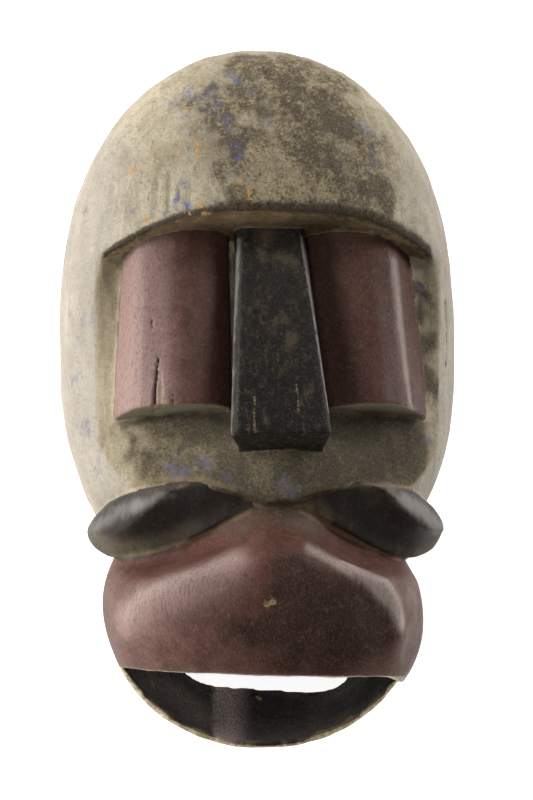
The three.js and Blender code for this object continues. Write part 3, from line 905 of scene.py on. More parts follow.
# %% The tool-mark tree
def tool_mark_tree():
    tree = bpy.data.node_groups.new("tool_marks", "GeometryNodeTree")
    sockets = {}
    tree.interface.new_socket("Geometry", in_out="INPUT", socket_type="NodeSocketGeometry")
    for name, kind in TOOL_MARK_INPUTS:
        sockets[name] = tree.interface.new_socket(name, in_out="INPUT", socket_type=kind).identifier
    tree.interface.new_socket("Geometry", in_out="OUTPUT", socket_type="NodeSocketGeometry")
    start = tree.nodes.new("NodeGroupInput")
    end = tree.nodes.new("NodeGroupOutput")
    position = tree.nodes.new("GeometryNodeInputPosition").outputs[0]
    normal = tree.nodes.new("GeometryNodeInputNormal").outputs[0]

    def put(socket, value):
        if isinstance(value, bpy.types.NodeSocket):
            tree.links.new(value, socket)
        else:
            socket.default_value = value

    def math_node(operation, a, b):
        node = tree.nodes.new("ShaderNodeMath")
        node.operation = operation
        put(node.inputs[0], a)
        put(node.inputs[1], b)
        return node.outputs[0]

    def share_of(name):
        node = tree.nodes.new("GeometryNodeInputNamedAttribute")
        node.data_type = "FLOAT"
        node.inputs["Name"].default_value = name
        return node.outputs[0]

    def stretched(width, length):
        sizes = tree.nodes.new("ShaderNodeCombineXYZ")
        for i, size in enumerate((width, length, width)):
            put(sizes.inputs[i], math_node("MULTIPLY", size, MM))
        scaled = tree.nodes.new("ShaderNodeVectorMath")
        scaled.operation = "DIVIDE"
        put(scaled.inputs[0], position)
        put(scaled.inputs[1], sizes.outputs[0])
        return scaled.outputs[0]

    def noise_of(vector, detail):
        node = tree.nodes.new("ShaderNodeTexNoise")
        node.noise_dimensions = "4D"
        put(node.inputs["Vector"], vector)
        put(node.inputs["W"], start.outputs["Seed"])
        node.inputs["Scale"].default_value = 1.0
        node.inputs["Detail"].default_value = detail
        return math_node("SUBTRACT", node.outputs[0], 0.5)

    cells = tree.nodes.new("ShaderNodeTexVoronoi")
    cells.voronoi_dimensions = "4D"
    put(cells.inputs["Vector"], stretched(start.outputs["Facet width"], start.outputs["Facet length"]))
    put(cells.inputs["W"], start.outputs["Seed"])
    cells.inputs["Scale"].default_value = 1.0
    scallop = math_node("POWER", cells.outputs["Distance"], 2.0)
    waves = math_node("MULTIPLY", noise_of(stretched(28.0, 45.0), 1.0), start.outputs["Waviness"])
    facets = math_node("MULTIPLY", scallop, start.outputs["Facet depth"])
    grain = math_node("MULTIPLY", noise_of(stretched(2.4, 40.0), 2.0), start.outputs["Grain depth"])
    fibre = math_node("MULTIPLY", noise_of(stretched(1.8, 6.0), 2.0), start.outputs["Fibre depth"])
    tooled = math_node("MULTIPLY", math_node("ADD", waves, math_node("ADD", facets, grain)), share_of("tooled"))
    total = math_node("ADD", tooled, math_node("MULTIPLY", fibre, share_of("bristly")))
    offset = tree.nodes.new("ShaderNodeVectorMath")
    offset.operation = "SCALE"
    put(offset.inputs[0], normal)
    put(offset.inputs["Scale"], math_node("MULTIPLY", total, MM))
    shift = tree.nodes.new("GeometryNodeSetPosition")
    put(shift.inputs["Geometry"], start.outputs["Geometry"])
    put(shift.inputs["Offset"], offset.outputs[0])
    realize = tree.nodes.new("GeometryNodeRealizeInstances")
    put(realize.inputs[0], shift.outputs[0])
    finish = tree.nodes.new("GeometryNodeSetMaterial")
    put(finish.inputs["Geometry"], realize.outputs[0])
    put(finish.inputs["Material"], start.outputs["Finish"])
    put(end.inputs[0], finish.outputs[0])
    return tree, sockets


TOOL_MARK_INPUTS = [
    ("Waviness", "NodeSocketFloat"),
    ("Facet depth", "NodeSocketFloat"),
    ("Facet width", "NodeSocketFloat"),
    ("Facet length", "NodeSocketFloat"),
    ("Grain depth", "NodeSocketFloat"),
    ("Fibre depth", "NodeSocketFloat"),
    ("Seed", "NodeSocketFloat"),
    ("Finish", "NodeSocketMaterial"),
]
TOOL_MARKS = {
    "Waviness": 2.0,
    "Facet depth": 0.9,
    "Facet width": 9.0,
    "Facet length": 24.0,
    "Grain depth": 0.35,
    "Fibre depth": 1.9,
    "Seed": 3.0,
}

# %% [markdown]
# The marks are strongest on the head, weaker on the polished nose and muzzle, and nothing moves at
# the flat back rim, so the mask still lies flat. At the outermost places of the block there was no
# wood to raise, so the last millimetre and a half is pressed in gently.

# %% Where the tools bit
def write_share(name, values):
    layer = wood.mesh.attributes.get(name) or wood.mesh.attributes.new(name, "FLOAT", "POINT")
    layer.data.foreach_set("value", np.clip(values, 0, 1).astype(np.float32))


def around_places(path, radius):
    """A soft share, 1 on the path and fading to 0 at about twice the radius from it."""
    share = np.zeros(len(wood.points))
    which, apart = near_path(path, (radius, radius))
    share[which] = np.exp(-apart * apart)
    return share


x, y, z = wood.points.T
off_the_rim = smooth(z, 1.0, 6.0)
tooled = 1.0 - 0.75 * part["nose"] - 0.5 * part["eyes"] - 0.4 * part["wings"] - 0.4 * part["mouth"]
tooled -= 0.6 * part["muzzle"]
bristly = around_places([(400, 262), (406, 320), (411, 370), (416, 415)], 4.5) * part["eyes"]
write_share("tooled", tooled * off_the_rim)
write_share("bristly", bristly)
write_share("split", split_share)

painted_wood = bpy.data.materials.new("painted_wood")
tree, sockets = tool_mark_tree()
marks = mask.modifiers.new("tool_marks", "NODES")
marks.node_group = tree
for name, value in TOOL_MARKS.items():
    marks[sockets[name]] = value
marks[sockets["Finish"]] = painted_wood
settle(mask)
wood = Wood(mask)
wood.points[:, 2] = np.maximum(wood.points[:, 2], 0.0)

EASE = 1.5
for axis in range(3):
    least, most = (solid_box[0][axis] / MM, solid_box[1][axis] / MM)
    values = wood.points[:, axis]
    past = np.maximum(values - (most - EASE), 0)
    values = values - past + EASE * (1 - np.exp(-past / EASE))
    if axis < 2:
        past = np.maximum(least + EASE - values, 0)
        values = values + past - EASE * (1 - np.exp(-past / EASE))
    wood.points[:, axis] = values
wood.store()
print("tool marks cut over", len(wood.points), "points")

# %% [markdown]
# ## Where the paint lies
# The paint is told apart by shares stored on the points. Red-brown earth covers the eyes and the
# muzzle, black covers the nose and the wings, and the inside is stained dark. Edges that stand out
# are worn down to pale wood, hollows keep the dirt, and broad recesses get dirt and painted shade.
# How far a point stands out is found by comparing it with the middle of the points around it.

# %% Paint shares from the forms
def stands_out(rounds):
    """How far each point stands out of the wood around it, in millimetres."""
    middle = np.stack([wood.spread(wood.points[:, axis], rounds) for axis in range(3)], axis=1)
    return np.einsum("ij,ij->i", wood.points - middle, normals)


mask.data.update()
bpy.context.view_layer.update()
sight = BVHTree.FromObject(mask, bpy.context.evaluated_depsgraph_get())
normals = wood.normals()
x, y, z = wood.points.T
edges = stands_out(10)
places = stands_out(70)
print("edges stand out", np.percentile(edges, (1, 10, 50, 90, 99)).round(2), "mm")
print("places stand out", np.percentile(places, (1, 10, 50, 90, 99)).round(2), "mm")
worn = wood.spread(smooth(edges, 0.14, 0.5), 2)
hollowed = wood.spread(smooth(-edges, 0.1, 0.5), 1)
# Broad recesses hold dirt and also get painted shade.
recess_dirt_and_shade = wood.spread(smooth(-places, 0.5, 3.2), 4)
for share in (hollowed, recess_dirt_and_shade):
    share *= 1 - 0.85 * smooth(keel_foot, 0.01, 0.1)

lip_line = MOUTH["lip_y"] + MOUTH["lip_slope"] * x
# Faces that turn down get a duller tone: the brow's underside a tan-brown, and the eyes' lower ends, left without red,
# a dark olive. Both are darkened further as painted shade.
faces_down = smooth(-normals[:, 1], 0.45, 0.75)
below_lip = smooth(lip_line - y, -1.0, 1.5)
eye_end = part["eyes"] * faces_down * smooth(-y, -18, -4)
brow_under = part["face"] * faces_down * smooth(y, 55, 65)
painted = {form: smooth(wood.spread(part[form], 9), 0.3, 0.7) for form in ("eyes", "nose", "wings")}
under_wings = part["wings"] * smooth(wood.spread(part["muzzle"], 20), 0.03, 0.2)
painted["muzzle"] = smooth(wood.spread(part["muzzle"] + under_wings, 9), 0.3, 0.7)
red = painted["eyes"] * (1 - eye_end) + painted["muzzle"] * (1 - below_lip) * smooth(z, 10, 30)
black = painted["nose"] + painted["wings"] * smooth(z, 25, 45)
inside = part["hollow"] + part["mouth"] * (1 - below_lip)
jaw_rim = part["mouth"] * below_lip
outer_edge = wood.spread(part["muzzle"], 5)
inside = np.maximum(inside, jaw_rim * smooth(0.3 - outer_edge, 0.0, 0.25))
jaw_rim = jaw_rim * smooth(outer_edge, 0.04, 0.3)

# %% [markdown]
# ## Stains, soot, blue pigment and chips
# The forehead has a broad dark stain with paler islands, and soot along the brow's edge. A thin blue
# wash shows in places, with a few deeper flecks, and chips go down to orange wood. Each is a place
# seen in the photograph, with a size in millimetres.
# Painted highlights, sheen, light and shade on the lip, the eyes, the cheeks and the jaw are placed the same way.

# %% Stains and flecks
RAGGED = 9.0
RAGGED_SIZE = 16.0
ragged = np.array([noise.turbulence_vector(p / RAGGED_SIZE, 4, False) for p in map(Vector, wood.points.tolist())])
ragged = wood.points + RAGGED * ragged
crumbled = np.array([noise.turbulence_vector(p / 3.0, 3, False) for p in map(Vector, wood.points.tolist())])
lightly_ragged = wood.points + 1.6 * crumbled


def blots(places, points=ragged):
    """A share that is 1 at each place and fades out at about its radius, with a ragged border."""
    share = np.zeros(len(wood.points))
    for px, py, radius in places:
        where = on_wood(px, py)
        if where is not None:
            apart = np.linalg.norm(points - where, axis=1) / radius
            share = np.maximum(share, np.exp(-apart * apart))
    return share


DUSTY = [(222, 122, 15), (250, 88, 14), (290, 92, 19), (330, 112, 18), (362, 150, 14), (300, 140, 18)]
DUSTY += [(245, 150, 13), (222, 178, 8), (330, 182, 15), (280, 190, 12), (372, 195, 12), (240, 208, 8), (205, 95, 8)]
STAIN_HEART = [(222, 116, 7), (220, 140, 7), (232, 94, 6), (262, 72, 6), (298, 80, 8), (318, 98, 8), (330, 122, 8)]
STAIN_HEART += [(298, 110, 8), (312, 150, 8), (338, 166, 7), (372, 186, 7), (358, 206, 8), (345, 130, 7)]
STAIN_HEART += [(252, 128, 6), (262, 108, 5), (236, 152, 6), (385, 212, 7), (225, 205, 5), (245, 58, 5), (204, 84, 4)]
PALE_ISLANDS = [(264, 156, 6), (284, 170, 7), (243, 110, 3), (300, 196, 9), (262, 190, 8), (262, 84, 4), (325, 200, 6)]
PALE_ISLANDS += [(345, 148, 4), (318, 82, 4), (290, 128, 3), (236, 130, 3)]
CHEEK_STAIN = [(362, 440, 18), (400, 460, 12), (375, 470, 10), (140, 455, 8), (205, 432, 16), (330, 470, 14)]
CHEEK_STAIN += [(423, 345, 10), (421, 312, 7), (118, 428, 6), (130, 442, 6), (350, 438, 10), (375, 425, 8), (385, 450, 10), (415, 450, 12), (408, 430, 9), (425, 380, 12), (422, 300, 10), (118, 264, 4), (232, 465, 12), (240, 490, 9), (300, 470, 12)]
CHEEK_PALE = [(118, 465, 12), (105, 482, 10), (132, 456, 8), (150, 440, 8), (170, 448, 8), (200, 452, 7), (262, 468, 7), (290, 488, 6), (110, 440, 9), (125, 450, 9)]
NOSE_DUST = [(270, 232, 9), (262, 256, 8), (288, 264, 6), (258, 300, 5), (276, 325, 5), (288, 352, 4), (300, 300, 4)]
NOSE_DUST += [(305, 395, 3), (268, 420, 3), (318, 425, 3), (270, 375, 3)]
DUSTY += [(255, 62, 12), (300, 66, 13), (340, 84, 12)]
BLUE_WASH = [(82, 325, 8), (76, 375, 8), (85, 430, 9), (100, 470, 7), (205, 92, 8), (190, 118, 8), (237, 76, 7)]
BLUE_WASH += [(178, 96, 8), (196, 140, 7), (230, 150, 6), (250, 84, 7), (262, 120, 6), (216, 104, 7), (228, 128, 9), (366, 128, 10), (374, 158, 6), (180, 202, 7), (240, 158, 5), (240, 182, 5)]
BLUE_WASH += [(180, 468, 8), (202, 471, 7), (232, 476, 6), (285, 486, 9), (432, 440, 8), (421, 292, 4)]
BLUE_FLECKS = [
    (166, 217, 1.8),
    (167, 212, 1.3),
    (176, 196, 2.2),
    (180, 200, 1.6),
    (188, 206, 2.6),
    (184, 184, 2.0),
    (182, 118, 2.6),
    (192, 97, 2.4),
    (221, 120, 2.2),
    (236, 80, 2.6),
    (252, 92, 2.2),
    (128, 156, 2.2),
    (133, 211, 1.4),
    (148, 208, 1.4),
    (374, 142, 2.6),
    (238, 158, 2.0),
    (420, 287, 2.0),
    (422, 298, 1.6),
    (168, 467, 2.4),
    (184, 471, 2.6),
    (199, 467, 2.0),
    (229, 477, 2.0),
    (286, 481, 1.8),
]
ORANGE_CHIPS = [
    (204, 190, 1.6),
    (186, 168, 1.2),
    (206, 214, 2.0),
    (176, 222, 1.6),
    (228, 100, 1.4),
    (198, 144, 1.8),
    (198, 149, 2.2),
    (198, 154, 1.6),
    (180, 143, 1.3),
    (133, 170, 1.8),
    (132, 174, 1.2),
    (224, 111, 1.8),
    (187, 110, 1.3),
    (241, 181, 1.6),
    (249, 192, 1.8),
    (250, 198, 1.8),
    (198, 199, 1.6),
    (200, 206, 2.0),
    (190, 213, 1.3),
    (147, 219, 2.2),
    (166, 229, 1.3),
    (243, 66, 1.2),
    (428, 218, 1.2),
    (446, 256, 1.5),
    (447, 264, 1.2),
]
# Places of painted shade, a dark red-brown, on the front of the lip.
DUSKY_SHADE = [(320, 612, 26), (350, 600, 18), (290, 640, 22), (340, 645, 26), (255, 640, 14), (290, 590, 13)]
DUSKY_SHADE += [(372, 620, 16), (370, 645, 14), (310, 575, 9), (384, 612, 9)]
on_face = part["head"] + part["face"]
soot_line = y - brow_y(np.clip(x, -89, 89)) - 1.0
soot_reach = np.where(soot_line > 0, mix(2.5, 6.0, smooth(x, -70, -10)), 3.0)
soot = np.exp(-((soot_line / soot_reach) ** 2)) * smooth(z, 40, 58) * smooth(89 - np.abs(x), 0, 6) * on_face
scratches = around_places([(254.5, 397), (254, 432)], 0.7) + 0.7 * around_places([(296, 384), (299, 409)], 0.6)
scratches += 0.6 * around_places([(326, 396), (329, 414)], 0.8) + 0.5 * around_places([(247, 410), (247, 430)], 0.6)
scratches += 0.8 * around_places([(160, 376), (160.5, 410)], 0.8) + 0.6 * around_places([(181, 394), (181, 408)], 0.5)
eye_shade = around_places([(124, 424), (148, 418), (178, 414), (207, 414), (226, 421)], 3.6)
eye_shade += 0.6 * around_places([(345, 424), (372, 417), (395, 417), (416, 424)], 3.6)
faded = blots([(304, 512, 11), (320, 523, 10), (288, 506, 7), (262, 505, 5), (334, 536, 7), (352, 546, 6), (246, 509, 6)])
keel_clay = blots([(262, 503, 6), (276, 505, 6), (290, 505, 6)])
wing_dust = 0.9 * around_places([(100, 538), (112, 550), (130, 548)], 8) + 0.5 * around_places([(145, 545), (195, 528)], 6)
wing_dust += 0.8 * around_places([(420, 552), (440, 540)], 6)
wing_dust = np.maximum(wing_dust, 0.8 * blots([(150, 486, 5), (375, 492, 5), (395, 493, 5), (180, 484, 4), (330, 498, 5)]))
wing_tan = around_places([(112, 556), (150, 552), (180, 543), (215, 529), (250, 511)], 1.6)
wing_tan += around_places([(300, 511), (340, 532), (372, 548), (400, 559)], 1.6)
wing_tan += 0.9 * around_places([(128, 487), (150, 480), (185, 478), (205, 480), (226, 488), (250, 497)], 1.7)
wing_tan += 0.9 * around_places([(320, 491), (350, 486), (385, 485), (412, 488)], 1.7)
# Pale painted highlights along the lip's two crests and the right eye's outer edge.
left_crest_highlight = 0.5 * around_places([(236, 558), (214, 566), (187, 577), (160, 588), (138, 600), (126, 616)], 5.5)
right_crest_highlight = 0.8 * around_places([(310, 549), (336, 563), (350, 567)], 3.6) + around_places([(350, 567), (368, 578), (386, 590)], 5.0)
right_crest_highlight += around_places([(386, 590), (396, 604), (402, 622)], 5.6)
# A rosy-grey painted sheen on the lip's left crest and on the left eye's outer facet.
rosy_sheen = around_places([(232, 562), (212, 574), (185, 588), (150, 602), (124, 622)], 12.0)
rosy_sheen = np.maximum(rosy_sheen, 0.4 * around_places([(180, 615), (135, 635)], 12.0))
dusky_shade_places = blots(DUSKY_SHADE) + 0.35 * around_places([(277, 528), (275, 560)], 9.0)
right_eye_highlight = around_places([(394, 262), (400, 320), (406, 370), (411, 412)], 3.8)
chip = around_places([(266, 604), (274, 602)], 1.5) + around_places([(152, 683), (154, 688)], 1.2)
chip += around_places([(257, 697), (260, 699)], 1.1)
pale_sides = part["head"] * smooth(np.abs(x), 58, 90)
low_nose = part["nose"] * smooth(-y, -62, 10)
red *= 1 - 0.6 * keel_clay
worn *= 1 - 0.6 * (part["nose"] + part["wings"])
# Painted light in the left recess, whose floor turns a little towards the left lamp. It also holds back the cheek tone
# and the recess shade there.
lit_left_recess = part["face"] * smooth(-x, 66, 74) * smooth(y, -30, 0)
low_face = part["face"] * smooth(-y, -12, 12) * smooth(88 - np.abs(x - 6), 2, 26) * (1 - lit_left_recess)
recess_dirt_and_shade *= 1 - 0.85 * lit_left_recess
towards_camera = wood.points @ np.array(TOWARDS)
nearness = (DISTANCE - MEASURED_Z) / (DISTANCE - towards_camera)
seen_px = FRAME_SIZE[0] / 2 + (wood.points @ np.array(ACROSS) - AIM[0]) * nearness / PIXEL
print("the wood spans the photograph's columns", round(seen_px.min()), "to", round(seen_px.max()))
# The nose's long edges and the wings' upper edges: worn paint with a painted grey highlight.
black_rub_and_sheen = 0.6 * around_places([(239, 240), (234, 330), (231, 432)], 2.2) + around_places([(301, 237), (332, 432)], 0.8)
black_rub_and_sheen += around_places([(97, 526), (116, 513), (132, 507)], 5.0) * 0.6 + around_places([(140, 505), (170, 496)], 4.2) * 0.5
black_rub_and_sheen += around_places([(404, 500), (424, 511), (440, 530)], 5.2)
shares = {
    "red": red,
    "black": black,
    "inside": inside,
    "jaw_rim": jaw_rim,
    "eye_end_shade": eye_end,
    "brow_under": brow_under,
    "worn": worn,
    "hollowed": hollowed,
    "recess_dirt_and_shade": recess_dirt_and_shade,
    "soot": soot,
    "dusty": blots(DUSTY) * part["head"],
    "stain": 0.5 + 0.5 * (blots(STAIN_HEART) - blots(PALE_ISLANDS)) * part["head"],
    "cheek_dusty": np.maximum(np.maximum(0.9 * low_face, blots(CHEEK_STAIN)), keel_clay) * (1 - part["head"]),
    "cheek_stain": 0.5 + 0.5 * (blots(CHEEK_STAIN) - blots(CHEEK_PALE)),
    "nose_dust": blots(NOSE_DUST) * part["nose"],
    "scratched": scratches * (part["nose"] + part["eyes"]),
    "eye_shade": eye_shade * part["face"],
    "faded": faded * part["wings"],
    "grey_wing": part["wings"],
    "wing_dust": wing_dust * part["wings"],
    "wing_tan": wing_tan,
    "blue_wash": blots(BLUE_WASH) * on_face,
    "blue": blots(BLUE_FLECKS, lightly_ragged),
    "orange": blots(ORANGE_CHIPS, lightly_ragged),
    "sunken": part["face"] * (1 - lit_left_recess),
    "rubbed_and_sheen": black_rub_and_sheen * (part["nose"] + part["wings"]),
    "rosy_sheen": rosy_sheen * (1 - part["eyes"]) + part["eyes"] * smooth(-x, 40, 68),
    "chip": chip * (part["muzzle"] + inside),
    "keel_brown": blots([(262, 512, 9), (285, 514, 10), (304, 524, 8), (240, 522, 9)], lightly_ragged) * part["muzzle"],
    "pale_sides": pale_sides,
    "lit_left_recess": lit_left_recess,
    # Painted shade on the right cheek, away from the stronger left light.
    "right_cheek_shade": low_face * smooth(x, 10, 45),
    "low_nose": low_nose,
    "lit_brow": brow_under * (0.35 + 0.65 * smooth(-x, -20, 10)) * smooth(95 + x, 20, 45),
    # Painted highlights on the lip's crests and the right eye's outer edge.
    "crest": left_crest_highlight + right_crest_highlight + 0.65 * painted["eyes"] * right_eye_highlight,
    # A grey painted sheen on the lip's right side.
    "ashen_sheen": blots([(413, 600, 10), (415, 636, 10), (420, 575, 8), (405, 655, 6)]),
    "ruddy": blots([(215, 548, 12), (255, 565, 12), (262, 600, 10), (295, 535, 9), (160, 548, 10)]),
    # Painted shade on the lip's front and on the eyes' inner sides.
    "dusky_shade": dusky_shade_places * part["muzzle"] + 0.4 * painted["eyes"] * smooth(x, -48, -20),
    # A painted highlight on one facet inside the jaw.
    "jaw_facet_highlight": smooth(seen_px, 210, 215) * smooth(-seen_px, -256, -226) * (part["hollow"] + part["mouth"]),
    "jaw_dark": blots([(330, 705, 18), (370, 690, 16), (300, 715, 14), (270, 705, 10)]) * (part["hollow"] + part["mouth"]),
    "jaw_left": around_places([(150, 680), (175, 695), (200, 715)], 11) * (part["hollow"] + part["mouth"]),
}
for name, values in shares.items():
    write_share(name, values)
print("paint shares written:", len(wood.mesh.attributes))

# %% [markdown]
# ## Fewer triangles where the wood is plain
# Half a million small faces are more than the shape needs. A Decimate modifier merges them where
# the surface is nearly flat and keeps them at edges, splits and tool marks. The stored shares are
# blended as points merge. Small chips, flecks and scratches lie on smooth wood too, so a group of
# their points tells the modifier to leave them as fine as they are.

# %% Thin the skin
MOST_TRIANGLES = 190_000
triangles = sum(len(polygon.vertices) - 2 for polygon in mask.data.polygons)
small_marks = np.maximum.reduce([shares[name] for name in ("chip", "blue", "orange", "scratched", "crest")])
fine_marks = mask.vertex_groups.new(name="fine_marks")
fine_marks.add(np.nonzero(small_marks > 0.15)[0].tolist(), 1.0, "REPLACE")
thin = mask.modifiers.new("thin", "DECIMATE")
thin.ratio = MOST_TRIANGLES / triangles
thin.vertex_group = fine_marks.name
thin.invert_vertex_group = True
print(int((small_marks > 0.15).sum()), "points stay fine")
settle(mask)
mask.vertex_groups.clear()
for polygon in mask.data.polygons:
    polygon.use_smooth = True
print("kept", len(mask.data.polygons), "of", triangles, "triangles")

# %% [markdown]
# ## The painted wood
# One material covers the whole mask, as the real paint lies on one block. It starts from bare wood
# with a grain, lays the clay, the red earth and the black over it by their shares, and breaks every
# border up with noise, so that no paint ends in a clean line. All patterns use Object coordinates,
# so they stay on the wood from any side.

# %% Helpers for the paint
def colour(red_value, green_value, blue_value):
    """A colour as it looks on a screen, 0 to 255, turned into the linear values that light needs."""
    values = [v / 255 for v in (red_value, green_value, blue_value)]
    return tuple(v / 12.92 if v <= 0.04045 else ((v + 0.055) / 1.055) ** 2.4 for v in values) + (1.0,)


class Paint:
    """Short names for the shader nodes that the paint is mixed from."""

    def __init__(self, material):
        material.use_nodes = True
        self.tree = material.node_tree
        self.tree.nodes.clear()
        self.where = self.tree.nodes.new("ShaderNodeTexCoord").outputs["Object"]

    def put(self, socket, value):
        if isinstance(value, bpy.types.NodeSocket):
            self.tree.links.new(value, socket)
        else:
            socket.default_value = value

    def math(self, operation, a, b=0.0):
        node = self.tree.nodes.new("ShaderNodeMath")
        node.operation = operation
        node.use_clamp = False
        self.put(node.inputs[0], a)
        self.put(node.inputs[1], b)
        return node.outputs[0]

    def share(self, name):
        node = self.tree.nodes.new("ShaderNodeAttribute")
        node.attribute_name = name
        return node.outputs["Fac"]

    def noise(self, size, detail=3.0, rough=0.55, length=1.0, shift=0.0):
        """Noise with blots of a size in millimetres, drawn out along the grain by the length."""
        place = self.tree.nodes.new("ShaderNodeMapping")
        place.inputs["Scale"].default_value = (1 / (size * MM), 1 / (size * length * MM), 1 / (size * MM))
        place.inputs["Location"].default_value = (shift, shift * 0.7, shift * 1.3)
        self.put(place.inputs["Vector"], self.where)
        node = self.tree.nodes.new("ShaderNodeTexNoise")
        self.put(node.inputs["Vector"], place.outputs[0])
        node.inputs["Scale"].default_value = 1.0
        node.inputs["Detail"].default_value = detail
        node.inputs["Roughness"].default_value = rough
        return node.outputs[0]

    def band(self, value, low, high):
        node = self.tree.nodes.new("ShaderNodeMapRange")
        node.interpolation_type = "SMOOTHSTEP"
        self.put(node.inputs["Value"], value)
        node.inputs["From Min"].default_value = low
        node.inputs["From Max"].default_value = high
        return node.outputs[0]

    def broken(self, share, noise, low=0.35, high=0.65, reach=0.7):
        """A share whose border is broken up by noise."""
        moved = self.math("ADD", share, self.math("MULTIPLY", self.math("SUBTRACT", noise, 0.5), reach))
        return self.band(moved, low, high)

    def both(self, a, b):
        return self.math("MULTIPLY", a, b)

    def over(self, share, below, above):
        node = self.tree.nodes.new("ShaderNodeMix")
        node.data_type = "RGBA"
        self.put(node.inputs["Factor"], share)
        self.put(node.inputs[6], below)
        self.put(node.inputs[7], above)
        return node.outputs[2]


# %% [markdown]
# The clay is the lightest layer: warm cream where it is thick, grey where it is thin, and brown
# where hands and smoke have darkened it.

# %% Wood and clay
paint = Paint(painted_wood)
grain = paint.noise(0.9, detail=4, length=22)
cloud = paint.noise(30, detail=9, rough=0.62, shift=2.0)
blotch = paint.noise(11, detail=9, rough=0.68, shift=5.0)
crumb = paint.noise(3.2, detail=7, rough=0.75, shift=9.0)
speck = paint.noise(1.2, detail=3, rough=0.8, shift=12.0)
streak = paint.noise(2.6, detail=5, rough=0.65, length=9, shift=15.0)
pitted = paint.both(paint.band(speck, 0.52, 0.66), paint.band(crumb, 0.3, 0.6))

clay = paint.over(paint.band(cloud, 0.35, 0.65), colour(156, 145, 120), colour(186, 175, 150))
clay = paint.over(paint.both(paint.band(blotch, 0.48, 0.62), 0.8), clay, colour(196, 186, 165))
smear = paint.noise(7, detail=6, rough=0.6, length=4, shift=51.0)
clay = paint.over(paint.both(paint.band(smear, 0.48, 0.66), 0.5), clay, colour(150, 134, 108))
clay = paint.over(paint.both(paint.band(crumb, 0.52, 0.66), 0.5), clay, colour(118, 101, 76))
scraped = paint.both(paint.band(streak, 0.54, 0.68), paint.band(cloud, 0.35, 0.6))
clay = paint.over(paint.both(scraped, 0.5), clay, colour(112, 98, 80))
clay = paint.over(paint.both(paint.band(speck, 0.44, 0.3), 0.6), clay, colour(212, 203, 181))
clay = paint.over(paint.both(pitted, 0.5), clay, colour(78, 64, 50))
sunk = paint.both(paint.share("sunken"), paint.band(blotch, 0.3, 0.6))
clay = paint.over(paint.both(sunk, 0.35), clay, colour(140, 126, 96))

# %% [markdown]
# The stains are not flat colour. They are crumbs of soot and grease with clay left between them. So a
# stain is a mottle of two tones, dark and ochre, and its heart only tips the balance to the dark.

# %% Stains, soot, and painted light and shade on the face
mottle = paint.noise(4.2, detail=9, rough=0.8, shift=21.0)
fine_mottle = paint.noise(1.4, detail=5, rough=0.8, shift=25.0)


def mottled(balance, low, high, pale, dark, fine_pale, fine_dark):
    """Crumbs of a dark tone on a pale one. The balance, around a half, tips the mixture."""
    tipped = paint.math("ADD", mottle, paint.both(paint.math("SUBTRACT", balance, 0.5), 0.3))
    tone = paint.over(paint.band(tipped, low, high), pale, dark)
    tone = paint.over(paint.both(paint.band(fine_mottle, 0.52, 0.6), 0.85), tone, fine_dark)
    return paint.over(paint.both(paint.band(fine_mottle, 0.45, 0.34), 0.6), tone, fine_pale)


clay = paint.over(paint.both(paint.share("pale_sides"), 0.45), clay, colour(160, 154, 152))
stain_tones = (colour(166, 151, 118), colour(84, 71, 57), colour(190, 177, 148), colour(46, 36, 30))
stain_colour = mottled(paint.share("stain"), 0.36, 0.6, *stain_tones)
stained = paint.broken(paint.share("dusty"), blotch, -0.05, 0.6, reach=1.5)
clay = paint.over(paint.both(stained, 0.9), clay, stain_colour)
cheek_tones = (colour(122, 110, 86), colour(76, 67, 53), colour(150, 137, 110), colour(44, 37, 30))
cheek_colour = mottled(paint.share("cheek_stain"), 0.36, 0.64, *cheek_tones)
cheek = paint.broken(paint.share("cheek_dusty"), blotch, 0.05, 0.8, reach=1.2)
clay = paint.over(paint.both(cheek, 0.9), clay, cheek_colour)
# Painted shade on the right cheek.
clay = paint.over(paint.both(paint.share("right_cheek_shade"), 0.35), clay, colour(50, 43, 34))
# Painted light in the left recess.
clay = paint.over(paint.both(paint.share("lit_left_recess"), 0.35), clay, colour(196, 178, 146))
washed = paint.broken(paint.broken(paint.share("blue_wash"), crumb, 0.0, 1.2, reach=2.4), fine_mottle, 0.3, 1.2, reach=2.6)
clay = paint.over(paint.both(washed, 0.48), clay, colour(94, 100, 138))
# The brow's underside and the eyes' lower ends: their own duller colour, darkened as painted shade.
under = paint.broken(paint.share("brow_under"), crumb, 0.3, 0.7, reach=0.6)
under_colour = paint.over(paint.band(mottle, 0.42, 0.6), colour(152, 128, 88), colour(84, 66, 44))
clay = paint.over(paint.both(under, 0.85), clay, under_colour)
clay = paint.over(paint.both(paint.share("eye_end_shade"), 0.75), clay, colour(92, 86, 68))
shaded = paint.broken(paint.share("eye_shade"), mottle, 0.15, 1.0, reach=1.2)
clay = paint.over(paint.both(shaded, 0.75), clay, colour(62, 55, 44))
sooty = paint.broken(paint.share("soot"), mottle, 0.3, 0.9, reach=1.3)
clay = paint.over(paint.both(sooty, 0.9), clay, paint.over(paint.band(fine_mottle, 0.4, 0.6), colour(74, 60, 44), colour(38, 30, 25)))

# %% [markdown]
# Red earth and black lie over the clay. Red is ruddy in the valleys of the lip. A dull rosy painted
# sheen lies on the lip's left crest and the left eye's outer facet, pale painted highlights run
# along the crests and the right eye's edge, a grey painted sheen lies on the lip's right side, and a
# dark red-brown painted shade lies low on the front of the lip and on the eyes' inner sides. The
# black is never quite even: dust and brown wood show through it, and its edges are worn, with a
# grey painted highlight on them.

# %% Red earth and black
red_base = paint.over(paint.band(blotch, 0.35, 0.65), colour(84, 54, 46), colour(104, 70, 60))
ruddy = paint.broken(paint.share("ruddy"), blotch, 0.1, 1.0, reach=0.9)
red_base = paint.over(paint.both(ruddy, 0.6), red_base, colour(98, 54, 43))
